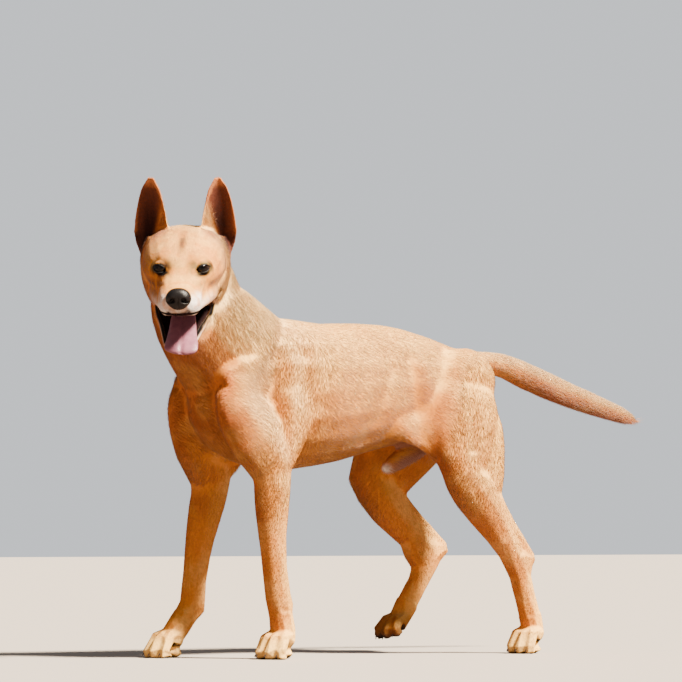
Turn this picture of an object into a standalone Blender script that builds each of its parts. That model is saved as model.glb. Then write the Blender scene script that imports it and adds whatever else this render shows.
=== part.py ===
"""A short-coated, prick-eared dog of the pariah type, life-size, standing with one hind foot lifted.

+X is the way the dog faces, +Y its left and +Z up, in metres. Each soft mass is a loft of oval sections
or a ball; the masses of one region are fused into one closed skin, and thin cuts part that skin into
the pieces that a person would name. Small hard pieces (eyes, nose, claws) sit in sockets of their own.
"""

import math

import bmesh
import bpy
from mathutils import Matrix, Vector

# ---------------------------------------------------------------- driving dimensions
WITHERS_HEIGHT = 0.510  # floor to the top of the shoulder blades
GAP = 0.0003  # clearance between neighbouring solids
SECTION_SIDES = 20  # points round a loft's section
RINGS_PER_SPAN = 4  # rings between two named sections

# Voxel sizes of the fused skins, and how many triangles each keeps.
BODY_VOXEL, BODY_SMOOTHING, BODY_TRIANGLES = 0.0042, 18, 2600
HEAD_VOXEL, HEAD_SMOOTHING, HEAD_TRIANGLES = 0.0020, 18, 1200
JAW_SMOOTHING, JAW_TRIANGLES = 8, 240
PAW_VOXEL, PAW_SMOOTHING, PAW_TRIANGLES = 0.0018, 3, 230

# Joints of the skeleton that the flesh is laid on, as (forward, left, up).
FORE = {
    "left": {
        "blade": Vector((0.120, 0.030, 0.474)),
        "shoulder": Vector((0.224, 0.060, 0.380)),
        "elbow": Vector((0.166, 0.073, 0.270)),
        "wrist": Vector((0.153, 0.068, 0.086)),
        "knuckle": Vector((0.143, 0.067, 0.036)),
    },
    "right": {
        "blade": Vector((0.130, -0.030, 0.474)),
        "shoulder": Vector((0.235, -0.057, 0.382)),
        "elbow": Vector((0.182, -0.073, 0.256)),
        "wrist": Vector((0.217, -0.070, 0.076)),
        "knuckle": Vector((0.249, -0.068, 0.036)),
    },
}
HIND = {
    "left": {
        "hip": Vector((-0.188, 0.046, 0.405)),
        "knee": Vector((-0.166, 0.080, 0.268)),
        "hock": Vector((-0.272, 0.075, 0.132)),
        "heel": Vector((-0.297, 0.075, 0.145)),
        "knuckle": Vector((-0.304, 0.070, 0.036)),
    },
    "right": {
        "hip": Vector((-0.185, -0.046, 0.405)),
        "knee": Vector((-0.100, -0.078, 0.272)),
        "hock": Vector((-0.206, -0.062, 0.148)),
        "heel": Vector((-0.231, -0.062, 0.160)),
        "knuckle": Vector((-0.144, -0.056, 0.054)),
    },
}
# Heading and pitch of each paw, in degrees: heading to the left, pitch below the horizontal.
PAW_AIM = {"fore_left": (12, 0), "fore_right": (-2, 0), "hind_left": (6, 0), "hind_right": (4, 22)}

# The head is drawn in its own frame, whose origin lies midway between the eyes.
HEAD_PLACE = Vector((0.329, 0.089, 0.5605))
HEAD_TURN = 55.7  # degrees to the left
HEAD_NOD = 23.0  # degrees nose-down
JAW_HINGE = Vector((-0.065, 0.0, -0.028))
JAW_OPEN, JAW_SLIDE = 24.0, 2.5  # degrees: how far the jaw is dropped, and turned to the dog's right
EYE_PLACE, EYE_RADIUS = Vector((0.0030, 0.0290, 0.0000)), 0.0105
EAR_ROOT, EAR_TIP = Vector((-0.078, 0.0470, -0.006)), Vector((-0.092, 0.0550, 0.108))
EAR_HALF_WIDTH, EAR_DEPTH, EAR_DEPTH_AT_TIP, EAR_WALL = 0.0305, 0.020, 0.002, 0.0034
EAR_CURL, EAR_TURN = math.radians(78), math.radians(24)  # half the curl of the cup, and how far it faces outwards

HALF_SPACE = 1.0  # edge of the cube that stands for all that is behind a plane

RELAXED_DROP = 0.0270  # from the knuckles to the pads of the lifted paw
RELAXED_REACH = Vector((0.0060, 0.0, 0.0035))  # how far the lifted paw hangs in front of its pastern
CLAW_LENGTH, CLAW_RADIUS = 0.0140, 0.0028

COAT = (0.72, 0.42, 0.20)
PALE_COAT = (0.83, 0.68, 0.50)
DARK_HORN = (0.05, 0.04, 0.04)
EYE_BROWN = (0.05, 0.025, 0.012)
NOSE_BLACK = (0.02, 0.018, 0.018)
TONGUE_PINK = (0.62, 0.30, 0.33)

collection = None


# ---------------------------------------------------------------- small tools
def clear_scene():
    for obj in list(bpy.data.objects):
        bpy.data.objects.remove(obj)


def make_material(name, colour, roughness):
    material = bpy.data.materials.new(name)
    material.use_nodes = True
    shader = material.node_tree.nodes["Principled BSDF"]
    shader.inputs["Base Color"].default_value = (*colour, 1.0)
    shader.inputs["Roughness"].default_value = roughness
    shader.inputs["Metallic"].default_value = 0.0
    return material


def point_out(shape):
    """Turns all faces of a closed bmesh outwards: a negative volume means that they all point in."""
    bmesh.ops.recalc_face_normals(shape, faces=shape.faces)
    if shape.calc_volume(signed=True) < 0:
        bmesh.ops.reverse_faces(shape, faces=shape.faces)


def add_mesh(name, build):
    """A new object whose mesh is filled by build(bmesh), with its faces pointing out."""
    mesh = bpy.data.meshes.new(name)
    shape = bmesh.new()
    build(shape)
    point_out(shape)
    shape.to_mesh(mesh)
    shape.free()
    obj = bpy.data.objects.new(name, mesh)
    collection.objects.link(obj)
    return obj


def smooth_between(rows, share):
    """The row at a share (0 to 1) of the way along a list of equally long rows, on a smooth curve."""
    spans = len(rows) - 1
    at = min(share * spans, spans - 1e-9)
    i = int(at)
    t = at - i
    before, start, end, after = (rows[max(0, min(spans, k))] for k in (i - 1, i, i + 1, i + 2))
    return [
        0.5 * (2 * b + (c - a) * t + (2 * a - 5 * b + 4 * c - d) * t**2 + (3 * b - a - 3 * c + d) * t**3)
        for a, b, c, d in zip(before, start, end, after)
    ]


def loft(sections, frame=None, power=2.0, grow=0.0, name="loft", sides=SECTION_SIDES, rings=RINGS_PER_SPAN):
    """A closed tube of ovals. A section is (x, y, z, half-width to the side, half-width across the path).

    power is the oval's exponent: 2 is an ellipse, more is boxier. grow widens it all round. sides is the number of
    points round it, and rings the number of rings for each named section.
    """
    count = (len(sections) - 1) * rings + 1
    rows = [smooth_between(sections, k / (count - 1)) for k in range(count)]

    def build(shape):
        skin = []
        for k, (x, y, z, side, across) in enumerate(rows):
            ahead = Vector(rows[min(k + 1, count - 1)][:3]) - Vector(rows[max(k - 1, 0)][:3])
            ahead.normalize()
            left = Vector((0, 1, 0)) - ahead * ahead.y
            left.normalize()
            up = ahead.cross(left)
            ring = []
            for j in range(sides):
                turn = 2 * math.pi * j / sides
                c, s = math.cos(turn), math.sin(turn)
                out_side = math.copysign(abs(c) ** (2 / power), c) * (side + grow)
                out_up = math.copysign(abs(s) ** (2 / power), s) * (across + grow)
                ring.append(shape.verts.new(Vector((x, y, z)) + left * out_side + up * out_up))
            skin.append(ring)
        for first, second in zip(skin, skin[1:]):
            for j in range(sides):
                k = (j + 1) % sides
                shape.faces.new((first[j], first[k], second[k], second[j]))
        shape.faces.new(skin[0])
        shape.faces.new(skin[-1])

    obj = add_mesh(name, build)
    if frame is not None:
        obj.data.transform(frame)
    return obj


def ball(place, radii, frame=None, turn=(0, 0, 0), name="ball", segments=20):
    """An ellipsoid, its radii along X, Y and Z before it is turned by degrees about them."""

    def build(shape):
        bmesh.ops.create_uvsphere(shape, u_segments=segments, v_segments=segments // 2, radius=1.0)
        spin = Matrix.Identity(4)
        for angle, axis in zip(turn, "XYZ"):
            spin = Matrix.Rotation(math.radians(angle), 4, axis) @ spin
        size = Matrix.Diagonal((*radii, 1.0))
        shape.transform(Matrix.Translation(place) @ spin @ size)

    obj = add_mesh(name, build)
    if frame is not None:
        obj.data.transform(frame)
    return obj


def box(name, centre, size, normal=(0, 0, 1), side=(0, 1, 0)):
    """A block whose local Z lies along normal and whose local Y lies to the given side."""

    def build(shape):
        bmesh.ops.create_cube(shape, size=1.0)
        z = Vector(normal).normalized()
        y = (Vector(side) - z * z.dot(side)).normalized()
        aim = Matrix((y.cross(z), y, z)).transposed().to_4x4()
        shape.transform(Matrix.Translation(centre) @ aim @ Matrix.Diagonal((*size, 1.0)))

    return add_mesh(name, build)


def apply_modifiers(obj):
    graph = bpy.context.evaluated_depsgraph_get()
    mesh = bpy.data.meshes.new_from_object(obj.evaluated_get(graph))
    obj.modifiers.clear()
    obj.data = mesh


def face_out(obj):
    """The same closed mesh with every face turned outwards."""
    shape = bmesh.new()
    shape.from_mesh(obj.data)
    point_out(shape)
    shape.to_mesh(obj.data)
    shape.free()
    return obj


def remove(*objs):
    for obj in objs:
        bpy.data.objects.remove(obj)


def join(name, pieces):
    """One object with all the faces of the pieces, which are removed."""
    mesh = bpy.data.meshes.new(name)
    shape = bmesh.new()
    for piece in pieces:
        shape.from_mesh(piece.data)
    shape.to_mesh(mesh)
    shape.free()
    remove(*pieces)
    obj = bpy.data.objects.new(name, mesh)
    collection.objects.link(obj)
    return obj


def fuse(name, pieces, voxel, smoothing, triangles):
    """The pieces' outer surface as one skin, smoothed where they meet and thinned to a triangle count."""
    obj = join(name, pieces)
    remesh = obj.modifiers.new("remesh", "REMESH")
    remesh.mode = "VOXEL"
    remesh.voxel_size = voxel
    soften = obj.modifiers.new("soften", "SMOOTH")
    soften.factor = 0.5
    soften.iterations = smoothing
    apply_modifiers(obj)
    faces = sum(len(p.vertices) - 2 for p in obj.data.polygons)
    thin = obj.modifiers.new("thin", "DECIMATE")
    thin.ratio = triangles / faces
    apply_modifiers(obj)
    return obj


def boolean(obj, cutter):
    """Cuts the cutter out of the solid and removes the cutter.

    The solver is MANIFOLD, because EXACT skips cuts through the tiny folds that the thinning leaves.
    """
    modifier = obj.modifiers.new("cut", "BOOLEAN")
    modifier.solver = "MANIFOLD"
    modifier.operation = "DIFFERENCE"
    modifier.object = cutter
    apply_modifiers(obj)
    remove(cutter)


def swollen_copy(obj):
    """A copy of the solid, larger all round by enough to keep the gap in its hollows too."""
    copy = bpy.data.objects.new("swollen", obj.data.copy())
    collection.objects.link(copy)
    swell = copy.modifiers.new("swell", "DISPLACE")
    swell.strength = GAP * 3
    swell.mid_level = 0.0
    apply_modifiers(copy)
    return copy


def keep_above(obj, place, normal):
    """Cuts away what lies behind the plane through place, by half a gap more."""
    normal = Vector(normal).normalized()
    centre = Vector(place) + normal * (GAP / 2 - HALF_SPACE / 2)
    boolean(obj, box("half_space", centre, (HALF_SPACE, HALF_SPACE, HALF_SPACE), normal))


def thin_cut(obj, place, normal, length, width=None, side=(0, 1, 0)):
    """Parts the skin with a slab one gap thick, wide enough for the limb and clear of the rest."""
    boolean(obj, box("slab", place, (length, width or length, GAP), normal, side))


def loose_parts(obj):
    """The separate bodies of a mesh, each as its own object."""
    shape = bmesh.new()
    shape.from_mesh(obj.data)
    todo, groups = set(shape.verts), []
    while todo:
        group, edge = set(), [todo.pop()]
        while edge:
            vert = edge.pop()
            group.add(vert.index)
            for link in vert.link_edges:
                other = link.other_vert(vert)
                if other in todo:
                    todo.remove(other)
                    edge.append(other)
        groups.append(group)
    groups.sort(key=min)
    made = []
    for k, group in enumerate(groups):
        piece = shape.copy()
        piece.verts.ensure_lookup_table()
        extra = [v for v in piece.verts if v.index not in group]
        bmesh.ops.delete(piece, geom=extra, context="VERTS")
        mesh = bpy.data.meshes.new(f"{obj.name}_{k}")
        piece.to_mesh(mesh)
        piece.free()
        part = bpy.data.objects.new(mesh.name, mesh)
        collection.objects.link(part)
        made.append(part)
    shape.free()
    remove(obj)
    return made


def centre_of(obj):
    corners = [v.co for v in obj.data.vertices]
    low = Vector(min(c[k] for c in corners) for k in range(3))
    high = Vector(max(c[k] for c in corners) for k in range(3))
    return (low + high) / 2


def part_off(body, name, near, *slab):
    """Cuts one piece off the body and names it: the piece whose centre is nearest. The rest is returned."""
    thin_cut(body, *slab)
    parts = sorted(loose_parts(body), key=lambda p: -len(p.data.vertices))
    piece = min(parts, key=lambda p: (centre_of(p) - near).length)
    rest = [p for p in parts if p is not piece]
    remove(*rest[1:])
    piece.name = piece.data.name = name
    return rest[0]


def keep_largest(obj):
    """The object without the crumbs that a cut may leave."""
    name = obj.name
    parts = sorted(loose_parts(obj), key=lambda p: -len(p.data.vertices))
    remove(*parts[1:])
    parts[0].name = parts[0].data.name = name
    return parts[0]


def trim(obj, neighbour):
    """Cuts from the object what its neighbour fills, and a gap.

    A swollen neighbour leaves slivers in its own sharp hollows, so copies moved by a gap each way take those.
    """
    boolean(obj, swollen_copy(neighbour))
    for axis in range(3):
        for step in (-GAP, GAP):
            moved = bpy.data.objects.new("moved", neighbour.data.copy())
            collection.objects.link(moved)
            moved.data.transform(Matrix.Translation([step if k == axis else 0.0 for k in range(3)]))
            boolean(obj, moved)
    return obj


def along(start, end, share):
    return start + (end - start) * share


def limb(start, end, sections, frame=None, bow=Vector((0, 0, 0)), power=2.0):
    """A loft along a bone. Its sections are (share of the bone, half-width to the side, half-depth)."""
    rows = []
    for share, side, across in sections:
        place = along(start, end, share) + bow * math.sin(math.pi * max(0.0, min(1.0, share)))
        rows.append((*place, side, across))
    return loft(rows, frame, power)


# ---------------------------------------------------------------- trunk, neck and tail
def trunk_masses():
    """The rib cage, loin and croup in one loft from the rump forwards, with the breast and the sheath."""
    back = WITHERS_HEIGHT
    # x, height of the back, height of the belly, half-width
    profile = [
        (-0.256, back - 0.088, 0.345, 0.030),
        (-0.240, back - 0.068, 0.330, 0.050),
        (-0.200, back - 0.048, 0.322, 0.066),
        (-0.140, back - 0.027, 0.322, 0.066),
        (-0.080, back - 0.012, 0.312, 0.068),
        (-0.020, back - 0.010, 0.299, 0.076),
        (0.040, back - 0.012, 0.284, 0.083),
        (0.100, back - 0.008, 0.275, 0.084),
        (0.150, back - 0.006, 0.275, 0.077),
        (0.200, back - 0.025, 0.292, 0.064),
        (0.235, back - 0.055, 0.325, 0.048),
        (0.250, back - 0.090, 0.365, 0.028),
    ]
    rows = [(x, 0.0, (top + low) / 2, half, (top - low) / 2) for x, top, low, half in profile]
    masses = [loft(rows, power=2.25)]
    masses.append(ball((0.235, 0.0, 0.385), (0.026, 0.040, 0.046)))  # breast
    masses.append(loft([  # sheath, under the belly
        (-0.165, 0.0, 0.325, 0.012, 0.012),
        (-0.138, 0.0, 0.309, 0.0145, 0.0155),
        (-0.106, 0.0, 0.294, 0.0150, 0.0160),
        (-0.082, 0.0, 0.281, 0.0115, 0.0125),
        (-0.071, 0.0, 0.275, 0.005, 0.006),
    ]))
    for side in (1, -1):
        masses.append(ball((-0.190, side * 0.045, 0.412), (0.062, 0.032, 0.054), turn=(0, 12, 0)))  # rump
        masses.append(loft([  # skin fold from the flank to the knee
            (-0.055, side * 0.044, 0.348, 0.012, 0.026),
            (-0.100, side * 0.055, 0.340, 0.013, 0.030),
            (-0.140, side * 0.062, 0.324, 0.014, 0.036),
        ]))
    return masses


def neck_masses():
    """The neck rises from between the shoulders and bends a little to the left under the head."""
    return [
        loft([
            (0.150, 0.000, 0.402, 0.072, 0.086),
            (0.184, 0.000, 0.437, 0.069, 0.092),
            (0.223, 0.000, 0.476, 0.063, 0.084),
            (0.248, -0.003, 0.516, 0.060, 0.075),
            (0.256, 0.000, 0.552, 0.055, 0.062),
            (0.268, 0.010, 0.573, 0.048, 0.048),
            (0.286, 0.028, 0.579, 0.030, 0.029),
        ], power=2.1),
        ball((0.150, 0.0, 0.462), (0.075, 0.046, 0.034), turn=(0, -14, 0)),  # withers crest
    ]


def tail_masses():
    """The tail leaves the croup level, thickens in its brush and droops to a blunt tip."""
    root = Vector((-0.215, 0.0, 0.440))
    return [loft([
        (root.x, 0.0, root.z, 0.020, 0.022),
        (root.x - 0.045, 0.0, root.z + 0.006, 0.018, 0.019),
        (root.x - 0.085, 0.0, root.z + 0.001, 0.0195, 0.0205),
        (root.x - 0.130, 0.0, root.z - 0.014, 0.0215, 0.0225),
        (root.x - 0.190, 0.0, root.z - 0.034, 0.0205, 0.0215),
        (root.x - 0.250, 0.0, root.z - 0.052, 0.0180, 0.0190),
        (root.x - 0.300, 0.0, root.z - 0.066, 0.0150, 0.0160),
        (root.x - 0.332, 0.0, root.z - 0.075, 0.0105, 0.0115),
        (root.x - 0.346, 0.0, root.z - 0.079, 0.0040, 0.0045),
    ])]


# ---------------------------------------------------------------- legs
def foreleg_masses(side):
    j = FORE[side]
    out = 1 if side == "left" else -1
    heel_of_elbow = j["elbow"] + Vector((-0.020, 0.002 * out, 0.012))
    return [
        limb(j["blade"], j["shoulder"], [(0, 0.014, 0.030), (0.5, 0.026, 0.044), (1, 0.026, 0.036)]),
        limb(j["shoulder"], j["elbow"], [
            (-0.15, 0.018, 0.022), (0.1, 0.029, 0.038), (0.5, 0.031, 0.044), (0.85, 0.027, 0.036), (1.1, 0.022, 0.028),
        ]),
        limb(j["blade"] + Vector((-0.012, 0.030 * out, -0.045)), heel_of_elbow, [  # triceps
            (0, 0.012, 0.026), (0.4, 0.022, 0.038), (0.8, 0.019, 0.027), (1, 0.013, 0.015),
        ]),
        ball(heel_of_elbow, (0.014, 0.013, 0.018)),
        limb(j["elbow"], j["wrist"], [
            (-0.12, 0.023, 0.026), (0.06, 0.0255, 0.0300), (0.25, 0.0235, 0.0280), (0.5, 0.0195, 0.0230),
            (0.75, 0.0185, 0.0200), (0.9, 0.0190, 0.0198), (1, 0.0198, 0.0202), (1.08, 0.0170, 0.0175),
        ], bow=Vector((0.005, 0, 0))),
        ball(j["wrist"] + Vector((-0.017, 0.004 * out, -0.006)), (0.0085, 0.0085, 0.010)),  # wrist pad
        pastern(j["wrist"], j["knuckle"], 0.0185, 0.0180),
    ]


def hindleg_masses(side):
    j = HIND[side]
    out = 1 if side == "left" else -1
    seat = Vector((-0.225, 0.040 * out, 0.372))
    flexed = side == "right"  # the lifted leg, whose hock bulges in front and whose calf is drawn up
    calf = along(j["knee"], j["hock"], 0.16) + Vector((-0.020 if flexed else -0.032, 0, -0.002))
    shin_bow = Vector((0.008, 0, -0.006)) if flexed else Vector((-0.006, 0, -0.003))
    front_of_hock = limb(along(j["knee"], j["hock"], 0.72), along(j["hock"], j["knuckle"], 0.22), [
        (0, 0.014, 0.013), (0.5, 0.0165, 0.0165 + (0.002 if flexed else 0)), (1, 0.0140, 0.0140),
    ], bow=Vector((0.012 if flexed else 0.002, 0, 0.002)))
    return [
        front_of_hock,
        limb(j["hip"], j["knee"], [
            (-0.1, 0.028, 0.050), (0.2, 0.037, 0.064), (0.5, 0.036, 0.060), (0.8, 0.031, 0.048),
            (1, 0.0275, 0.034), (1.15, 0.020, 0.024),
        ]),
        limb(seat, calf, [(-0.1, 0.022, 0.026), (0.25, 0.028, 0.038), (0.7, 0.024, 0.034), (1, 0.017, 0.024)]),
        limb(j["knee"], j["hock"], [
            (-0.08, 0.026, 0.030), (0.12, 0.0290, 0.0350), (0.35, 0.0265, 0.0320), (0.6, 0.0205, 0.0250),
            (0.85, 0.0170, 0.0190), (1.05, 0.0165, 0.0180),
        ], bow=shin_bow),
        limb(calf, j["heel"], [(0, 0.015, 0.020), (0.4, 0.0100, 0.0135), (1, 0.0100, 0.0100)]),  # hamstring cord
        limb(j["hock"], j["heel"], [(-0.5, 0.014, 0.017), (0.4, 0.014, 0.015), (1, 0.0115, 0.0115), (1.25, 0.006, 0.006)]),
        pastern(j["hock"], j["knuckle"], 0.0158, 0.0180),
    ]


def pastern(top, knuckle, side, across):
    return limb(top, knuckle, [
        (-0.15, side * 0.9, across * 0.95), (0.1, side * 1.02, across * 1.08), (0.5, side, across),
        (0.85, side * 1.12, across), (1.1, side * 1.05, across * 0.85),
    ])


def paw_frame(leg):
    """The paw's own frame: origin at its knuckles, X to the toe tips, Y left and Z up."""
    end, side = leg.split("_")
    knuckle = (FORE if end == "fore" else HIND)[side]["knuckle"]
    heading, pitch = PAW_AIM[leg]
    turn = Matrix.Rotation(math.radians(heading), 4, "Z") @ Matrix.Rotation(math.radians(pitch), 4, "Y")
    if pitch:
        knuckle = knuckle + RELAXED_REACH
    size = 0.95 if end == "fore" else 0.90
    return Matrix.Translation(knuckle) @ turn @ Matrix.Scale(size, 4)


# Each toe: how far to the side its root and tip are, how far ahead its tip is.
TOES = {"outer": (0.0165, 0.0225, 0.033), "mid_outer": (0.0065, 0.0090, 0.044),
        "mid_inner": (-0.0065, -0.0090, 0.044), "inner": (-0.0165, -0.0225, 0.033)}


def toe_masses(frame, spec, sink):
    """An arched toe: root, raised middle knuckle, tip, and the pad under it. sink lowers it to the floor."""
    root, tip, reach = spec
    floor = -sink
    return [
        loft([
            (-0.006, root * 0.8, -0.006, 0.0080, 0.0100),
            (reach * 0.30, root, -0.004, 0.0086, 0.0100),
            (reach * 0.60, (root + tip) / 2, -0.0085, 0.0092, 0.0098),
            (reach * 0.85, tip, floor + 0.0140, 0.0094, 0.0085),
            (reach, tip, floor + 0.0105, 0.0072, 0.0062),
            (reach + 0.004, tip, floor + 0.0090, 0.0030, 0.0025),
        ], frame),
        ball((reach * 0.80, tip, floor + 0.0050), (0.0115, 0.0080, 0.0062), frame),
    ]


def paw_masses(leg):
    frame = paw_frame(leg)
    end, side = leg.split("_")
    joints = (FORE if end == "fore" else HIND)[side]
    sink = joints["knuckle"].z / frame.median_scale if PAW_AIM[leg][1] == 0 else RELAXED_DROP
    masses = []
    for spec in TOES.values():
        masses += toe_masses(frame, spec, sink)
    masses.append(ball((0.004, 0.0, -sink + 0.0085), (0.0165, 0.0175, 0.0100), frame))  # main pad
    masses.append(ball((0.004, 0.0, -0.0100), (0.0180, 0.0230, 0.0150), frame))
    if end == "fore":
        masses.append(pastern(joints["wrist"], joints["knuckle"], 0.0185, 0.0180))
    else:
        masses.append(pastern(joints["hock"], joints["knuckle"], 0.0158, 0.0180))
    return masses


def claw(name, leg, spec):
    """A blunt curved claw from the toe tip, with its root inside the toe."""
    frame = paw_frame(leg)
    end, side = leg.split("_")
    knuckle = (FORE if end == "fore" else HIND)[side]["knuckle"]
    sink = knuckle.z / frame.median_scale if PAW_AIM[leg][1] == 0 else RELAXED_DROP
    _, tip, reach = spec
    sections = []
    for share in (0.0, 0.45, 0.8, 1.0):
        bend = math.radians(55 * share)
        x = reach - 0.006 + CLAW_LENGTH * share * math.cos(bend * 0.5)
        z = -sink + 0.0125 - CLAW_LENGTH * share * math.sin(bend * 0.75)
        thick = CLAW_RADIUS * (1 - 0.72 * share**1.5)
        sections.append((x, tip * 1.03, z, thick * 0.85, thick))
    return loft(sections, frame, name=name, sides=6, rings=1)


def head_frame():
    turn = Matrix.Rotation(math.radians(HEAD_TURN), 4, "Z") @ Matrix.Rotation(math.radians(HEAD_NOD), 4, "Y")
    return Matrix.Translation(HEAD_PLACE) @ turn


def jaw_frame():
    """The head's frame with the jaw dropped about its hinge."""
    drop = Matrix.Rotation(math.radians(JAW_OPEN), 4, "Y") @ Matrix.Rotation(math.radians(-JAW_SLIDE), 4, "Z")
    swing = Matrix.Translation(JAW_HINGE) @ drop
    return head_frame() @ swing @ Matrix.Translation(-JAW_HINGE)


def head_loft(rows, place, power):
    """A loft along the head from rows of x, height of the top, height of the underside and half-width."""
    return loft([(x, 0.0, (top + low) / 2, half, (top - low) / 2) for x, top, low, half in rows], place, power=power)


def jaw_masses():
    """The lower jaw from its hinge to the chin, drawn shut and then dropped about the hinge."""
    chin = [
        (-0.080, -0.046, -0.086, 0.039),
        (-0.050, -0.050, -0.091, 0.0475),
        (-0.020, -0.0525, -0.087, 0.0425),
        (0.010, -0.0525, -0.081, 0.0330),
        (0.036, -0.0510, -0.0755, 0.0265),
        (0.055, -0.0500, -0.0700, 0.0215),
        (0.063, -0.0510, -0.0650, 0.0145),
    ]
    return [head_loft(chin, jaw_frame(), 3.0)]


def head_masses():
    frame = head_frame()
    skull = [
        (-0.128, 0.010, -0.020, 0.024),
        (-0.108, 0.029, -0.036, 0.046),
        (-0.080, 0.040, -0.046, 0.059),
        (-0.052, 0.040, -0.052, 0.061),
        (-0.028, 0.032, -0.054, 0.057),
        (-0.008, 0.0215, -0.055, 0.0490),
        (0.010, 0.0065, -0.053, 0.0390),
        (0.030, -0.004, -0.0520, 0.0335),
        (0.052, -0.009, -0.0505, 0.0310),
        (0.070, -0.011, -0.0485, 0.0275),
        (0.080, -0.013, -0.0450, 0.0205),
        (0.084, -0.018, -0.0400, 0.0120),
    ]
    masses = [head_loft(skull, frame, 2.25)]
    for side in (1, -1):
        masses += [
            loft([  # cheek, from the root of the ear down to the corner of the mouth
                (-0.088, side * 0.044, 0.018, 0.015, 0.020),
                (-0.080, side * 0.047, -0.004, 0.019, 0.028),
                (-0.072, side * 0.047, -0.028, 0.019, 0.033),
                (-0.068, side * 0.043, -0.050, 0.018, 0.030),
                (-0.068, side * 0.038, -0.068, 0.015, 0.025),
                (-0.070, side * 0.032, -0.082, 0.009, 0.015),
            ], frame),
            ball((-0.038, side * 0.040, -0.014), (0.038, 0.018, 0.016), frame, turn=(0, 10, side * -16)),  # cheekbone
            ball((-0.010, side * 0.0230, 0.0120), (0.016, 0.014, 0.010), frame, turn=(0, 20, side * -20)),  # brow
            ball((0.040, side * 0.0165, -0.0405), (0.038, 0.0140, 0.0140), frame),  # upper lip
            loft([  # the roll of its edge, from the corner of the mouth forwards
                (-0.042, side * 0.0420, -0.0470, 0.0090, 0.0110),
                (-0.020, side * 0.0405, -0.0435, 0.0100, 0.0115),
                (0.004, side * 0.0350, -0.0420, 0.0105, 0.0112),
                (0.030, side * 0.0275, -0.0405, 0.0100, 0.0106),
                (0.056, side * 0.0200, -0.0390, 0.0090, 0.0096),
                (0.070, side * 0.0140, -0.0385, 0.0070, 0.0085),
            ], frame),
        ]
    masses.append(ball((-0.074, 0.0, -0.060), (0.044, 0.044, 0.038), frame))  # throat
    return masses


def mouth_gap():
    """The wedge between the lips, from the corners of the mouth forwards, and the hollow inside it."""
    # x, height of the upper lip's edge, height of the lower lip's edge
    lips = [
        (-0.038, -0.0555, -0.0590),
        (-0.026, -0.0550, -0.0635),
        (-0.010, -0.0540, -0.0680),
        (0.014, -0.0525, -0.0745),
        (0.040, -0.0500, -0.0855),
        (0.066, -0.0475, -0.0970),
        (0.110, -0.0440, -0.1160),
    ]
    rows = [(x, 0.0, (top + low) / 2, 0.070, (top - low) / 2) for x, top, low in lips]
    return loft(rows, head_frame(), 6.0, name="mouth_gap", sides=12, rings=1)


def palate_hollow():
    return loft([
        (-0.046, 0.0, -0.0590, 0.0160, 0.0050),
        (-0.015, 0.0, -0.0585, 0.0190, 0.0110),
        (0.020, 0.0, -0.0570, 0.0170, 0.0105),
        (0.050, 0.0, -0.0550, 0.0140, 0.0090),
        (0.060, 0.0, -0.0550, 0.0080, 0.0050),
    ], head_frame(), 2.4, name="palate", sides=10, rings=1)


def tongue(grow=0.0, name="tongue"):
    """The tongue lies along the jaw, bends over the lower lip and hangs to a round tip."""
    return loft([
        (-0.036, 0.0, -0.0700, 0.0140, 0.0048),
        (-0.010, 0.0, -0.0795, 0.0188, 0.0056),
        (0.014, 0.0, -0.0885, 0.0202, 0.0056),
        (0.034, 0.0002, -0.0955, 0.0226, 0.0050),
        (0.048, 0.0002, -0.1005, 0.0250, 0.0046),
        (0.056, -0.0002, -0.1045, 0.0245, 0.0042),
        (0.0590, -0.0006, -0.1075, 0.0185, 0.0036),
        (0.0600, -0.0008, -0.1095, 0.0080, 0.0024),
    ], head_frame(), 2.4, grow, name, sides=12, rings=1)


def nose():
    return loft([
        (0.066, 0.0, -0.0215, 0.0125, 0.0100),
        (0.074, 0.0, -0.0225, 0.0172, 0.0140),
        (0.081, 0.0, -0.0240, 0.0172, 0.0145),
        (0.086, 0.0, -0.0255, 0.0138, 0.0115),
        (0.088, 0.0, -0.0265, 0.0065, 0.0055),
    ], head_frame(), 2.3, name="nose", sides=12, rings=1)


def eye(side, grow=0.0, name="eye"):
    place = Vector((EYE_PLACE.x, side * EYE_PLACE.y, EYE_PLACE.z))
    radius = EYE_RADIUS + grow
    return ball(place, (radius, radius, radius), head_frame(), name=name, segments=12)


def ear(side, name):
    """A pricked ear: a curled sheet, widest at its root, that closes to a point, given its wall."""
    rows, columns = 8, 7

    def build(shape):
        grid = []
        for r in range(rows):
            v = r / (rows - 1) * 0.985
            middle = along(EAR_ROOT, EAR_TIP, v)
            half = EAR_HALF_WIDTH * (1 - v**1.8) ** 0.55 * min(1.0, 0.62 + 1.6 * v)
            depth = EAR_DEPTH * (1 - v) ** 0.75 + EAR_DEPTH_AT_TIP
            line = []
            for c in range(columns):
                u = 2 * c / (columns - 1) - 1
                curl = EAR_CURL * u
                sideways = half * math.sin(curl) / math.sin(EAR_CURL)
                back = depth * math.cos(curl)
                line.append(shape.verts.new((middle.x - back + depth * 0.4, middle.y + sideways, middle.z)))
            grid.append(line)
        for lower, upper in zip(grid, grid[1:]):
            for c in range(columns - 1):
                shape.faces.new((lower[c], lower[c + 1], upper[c + 1], upper[c]))
        outward = Matrix.Rotation(EAR_TURN, 4, "Z")
        root = Matrix.Translation(EAR_ROOT)
        shape.transform(root @ outward @ root.inverted())
        if side < 0:
            shape.transform(Matrix.Diagonal((1, -1, 1, 1)))
            bmesh.ops.reverse_faces(shape, faces=shape.faces)

    obj = add_mesh(name, build)
    obj.data.transform(head_frame())
    wall = obj.modifiers.new("wall", "SOLIDIFY")
    wall.thickness = EAR_WALL
    wall.offset = 0.0
    wall.use_even_offset = True
    apply_modifiers(obj)
    return face_out(obj)


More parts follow.
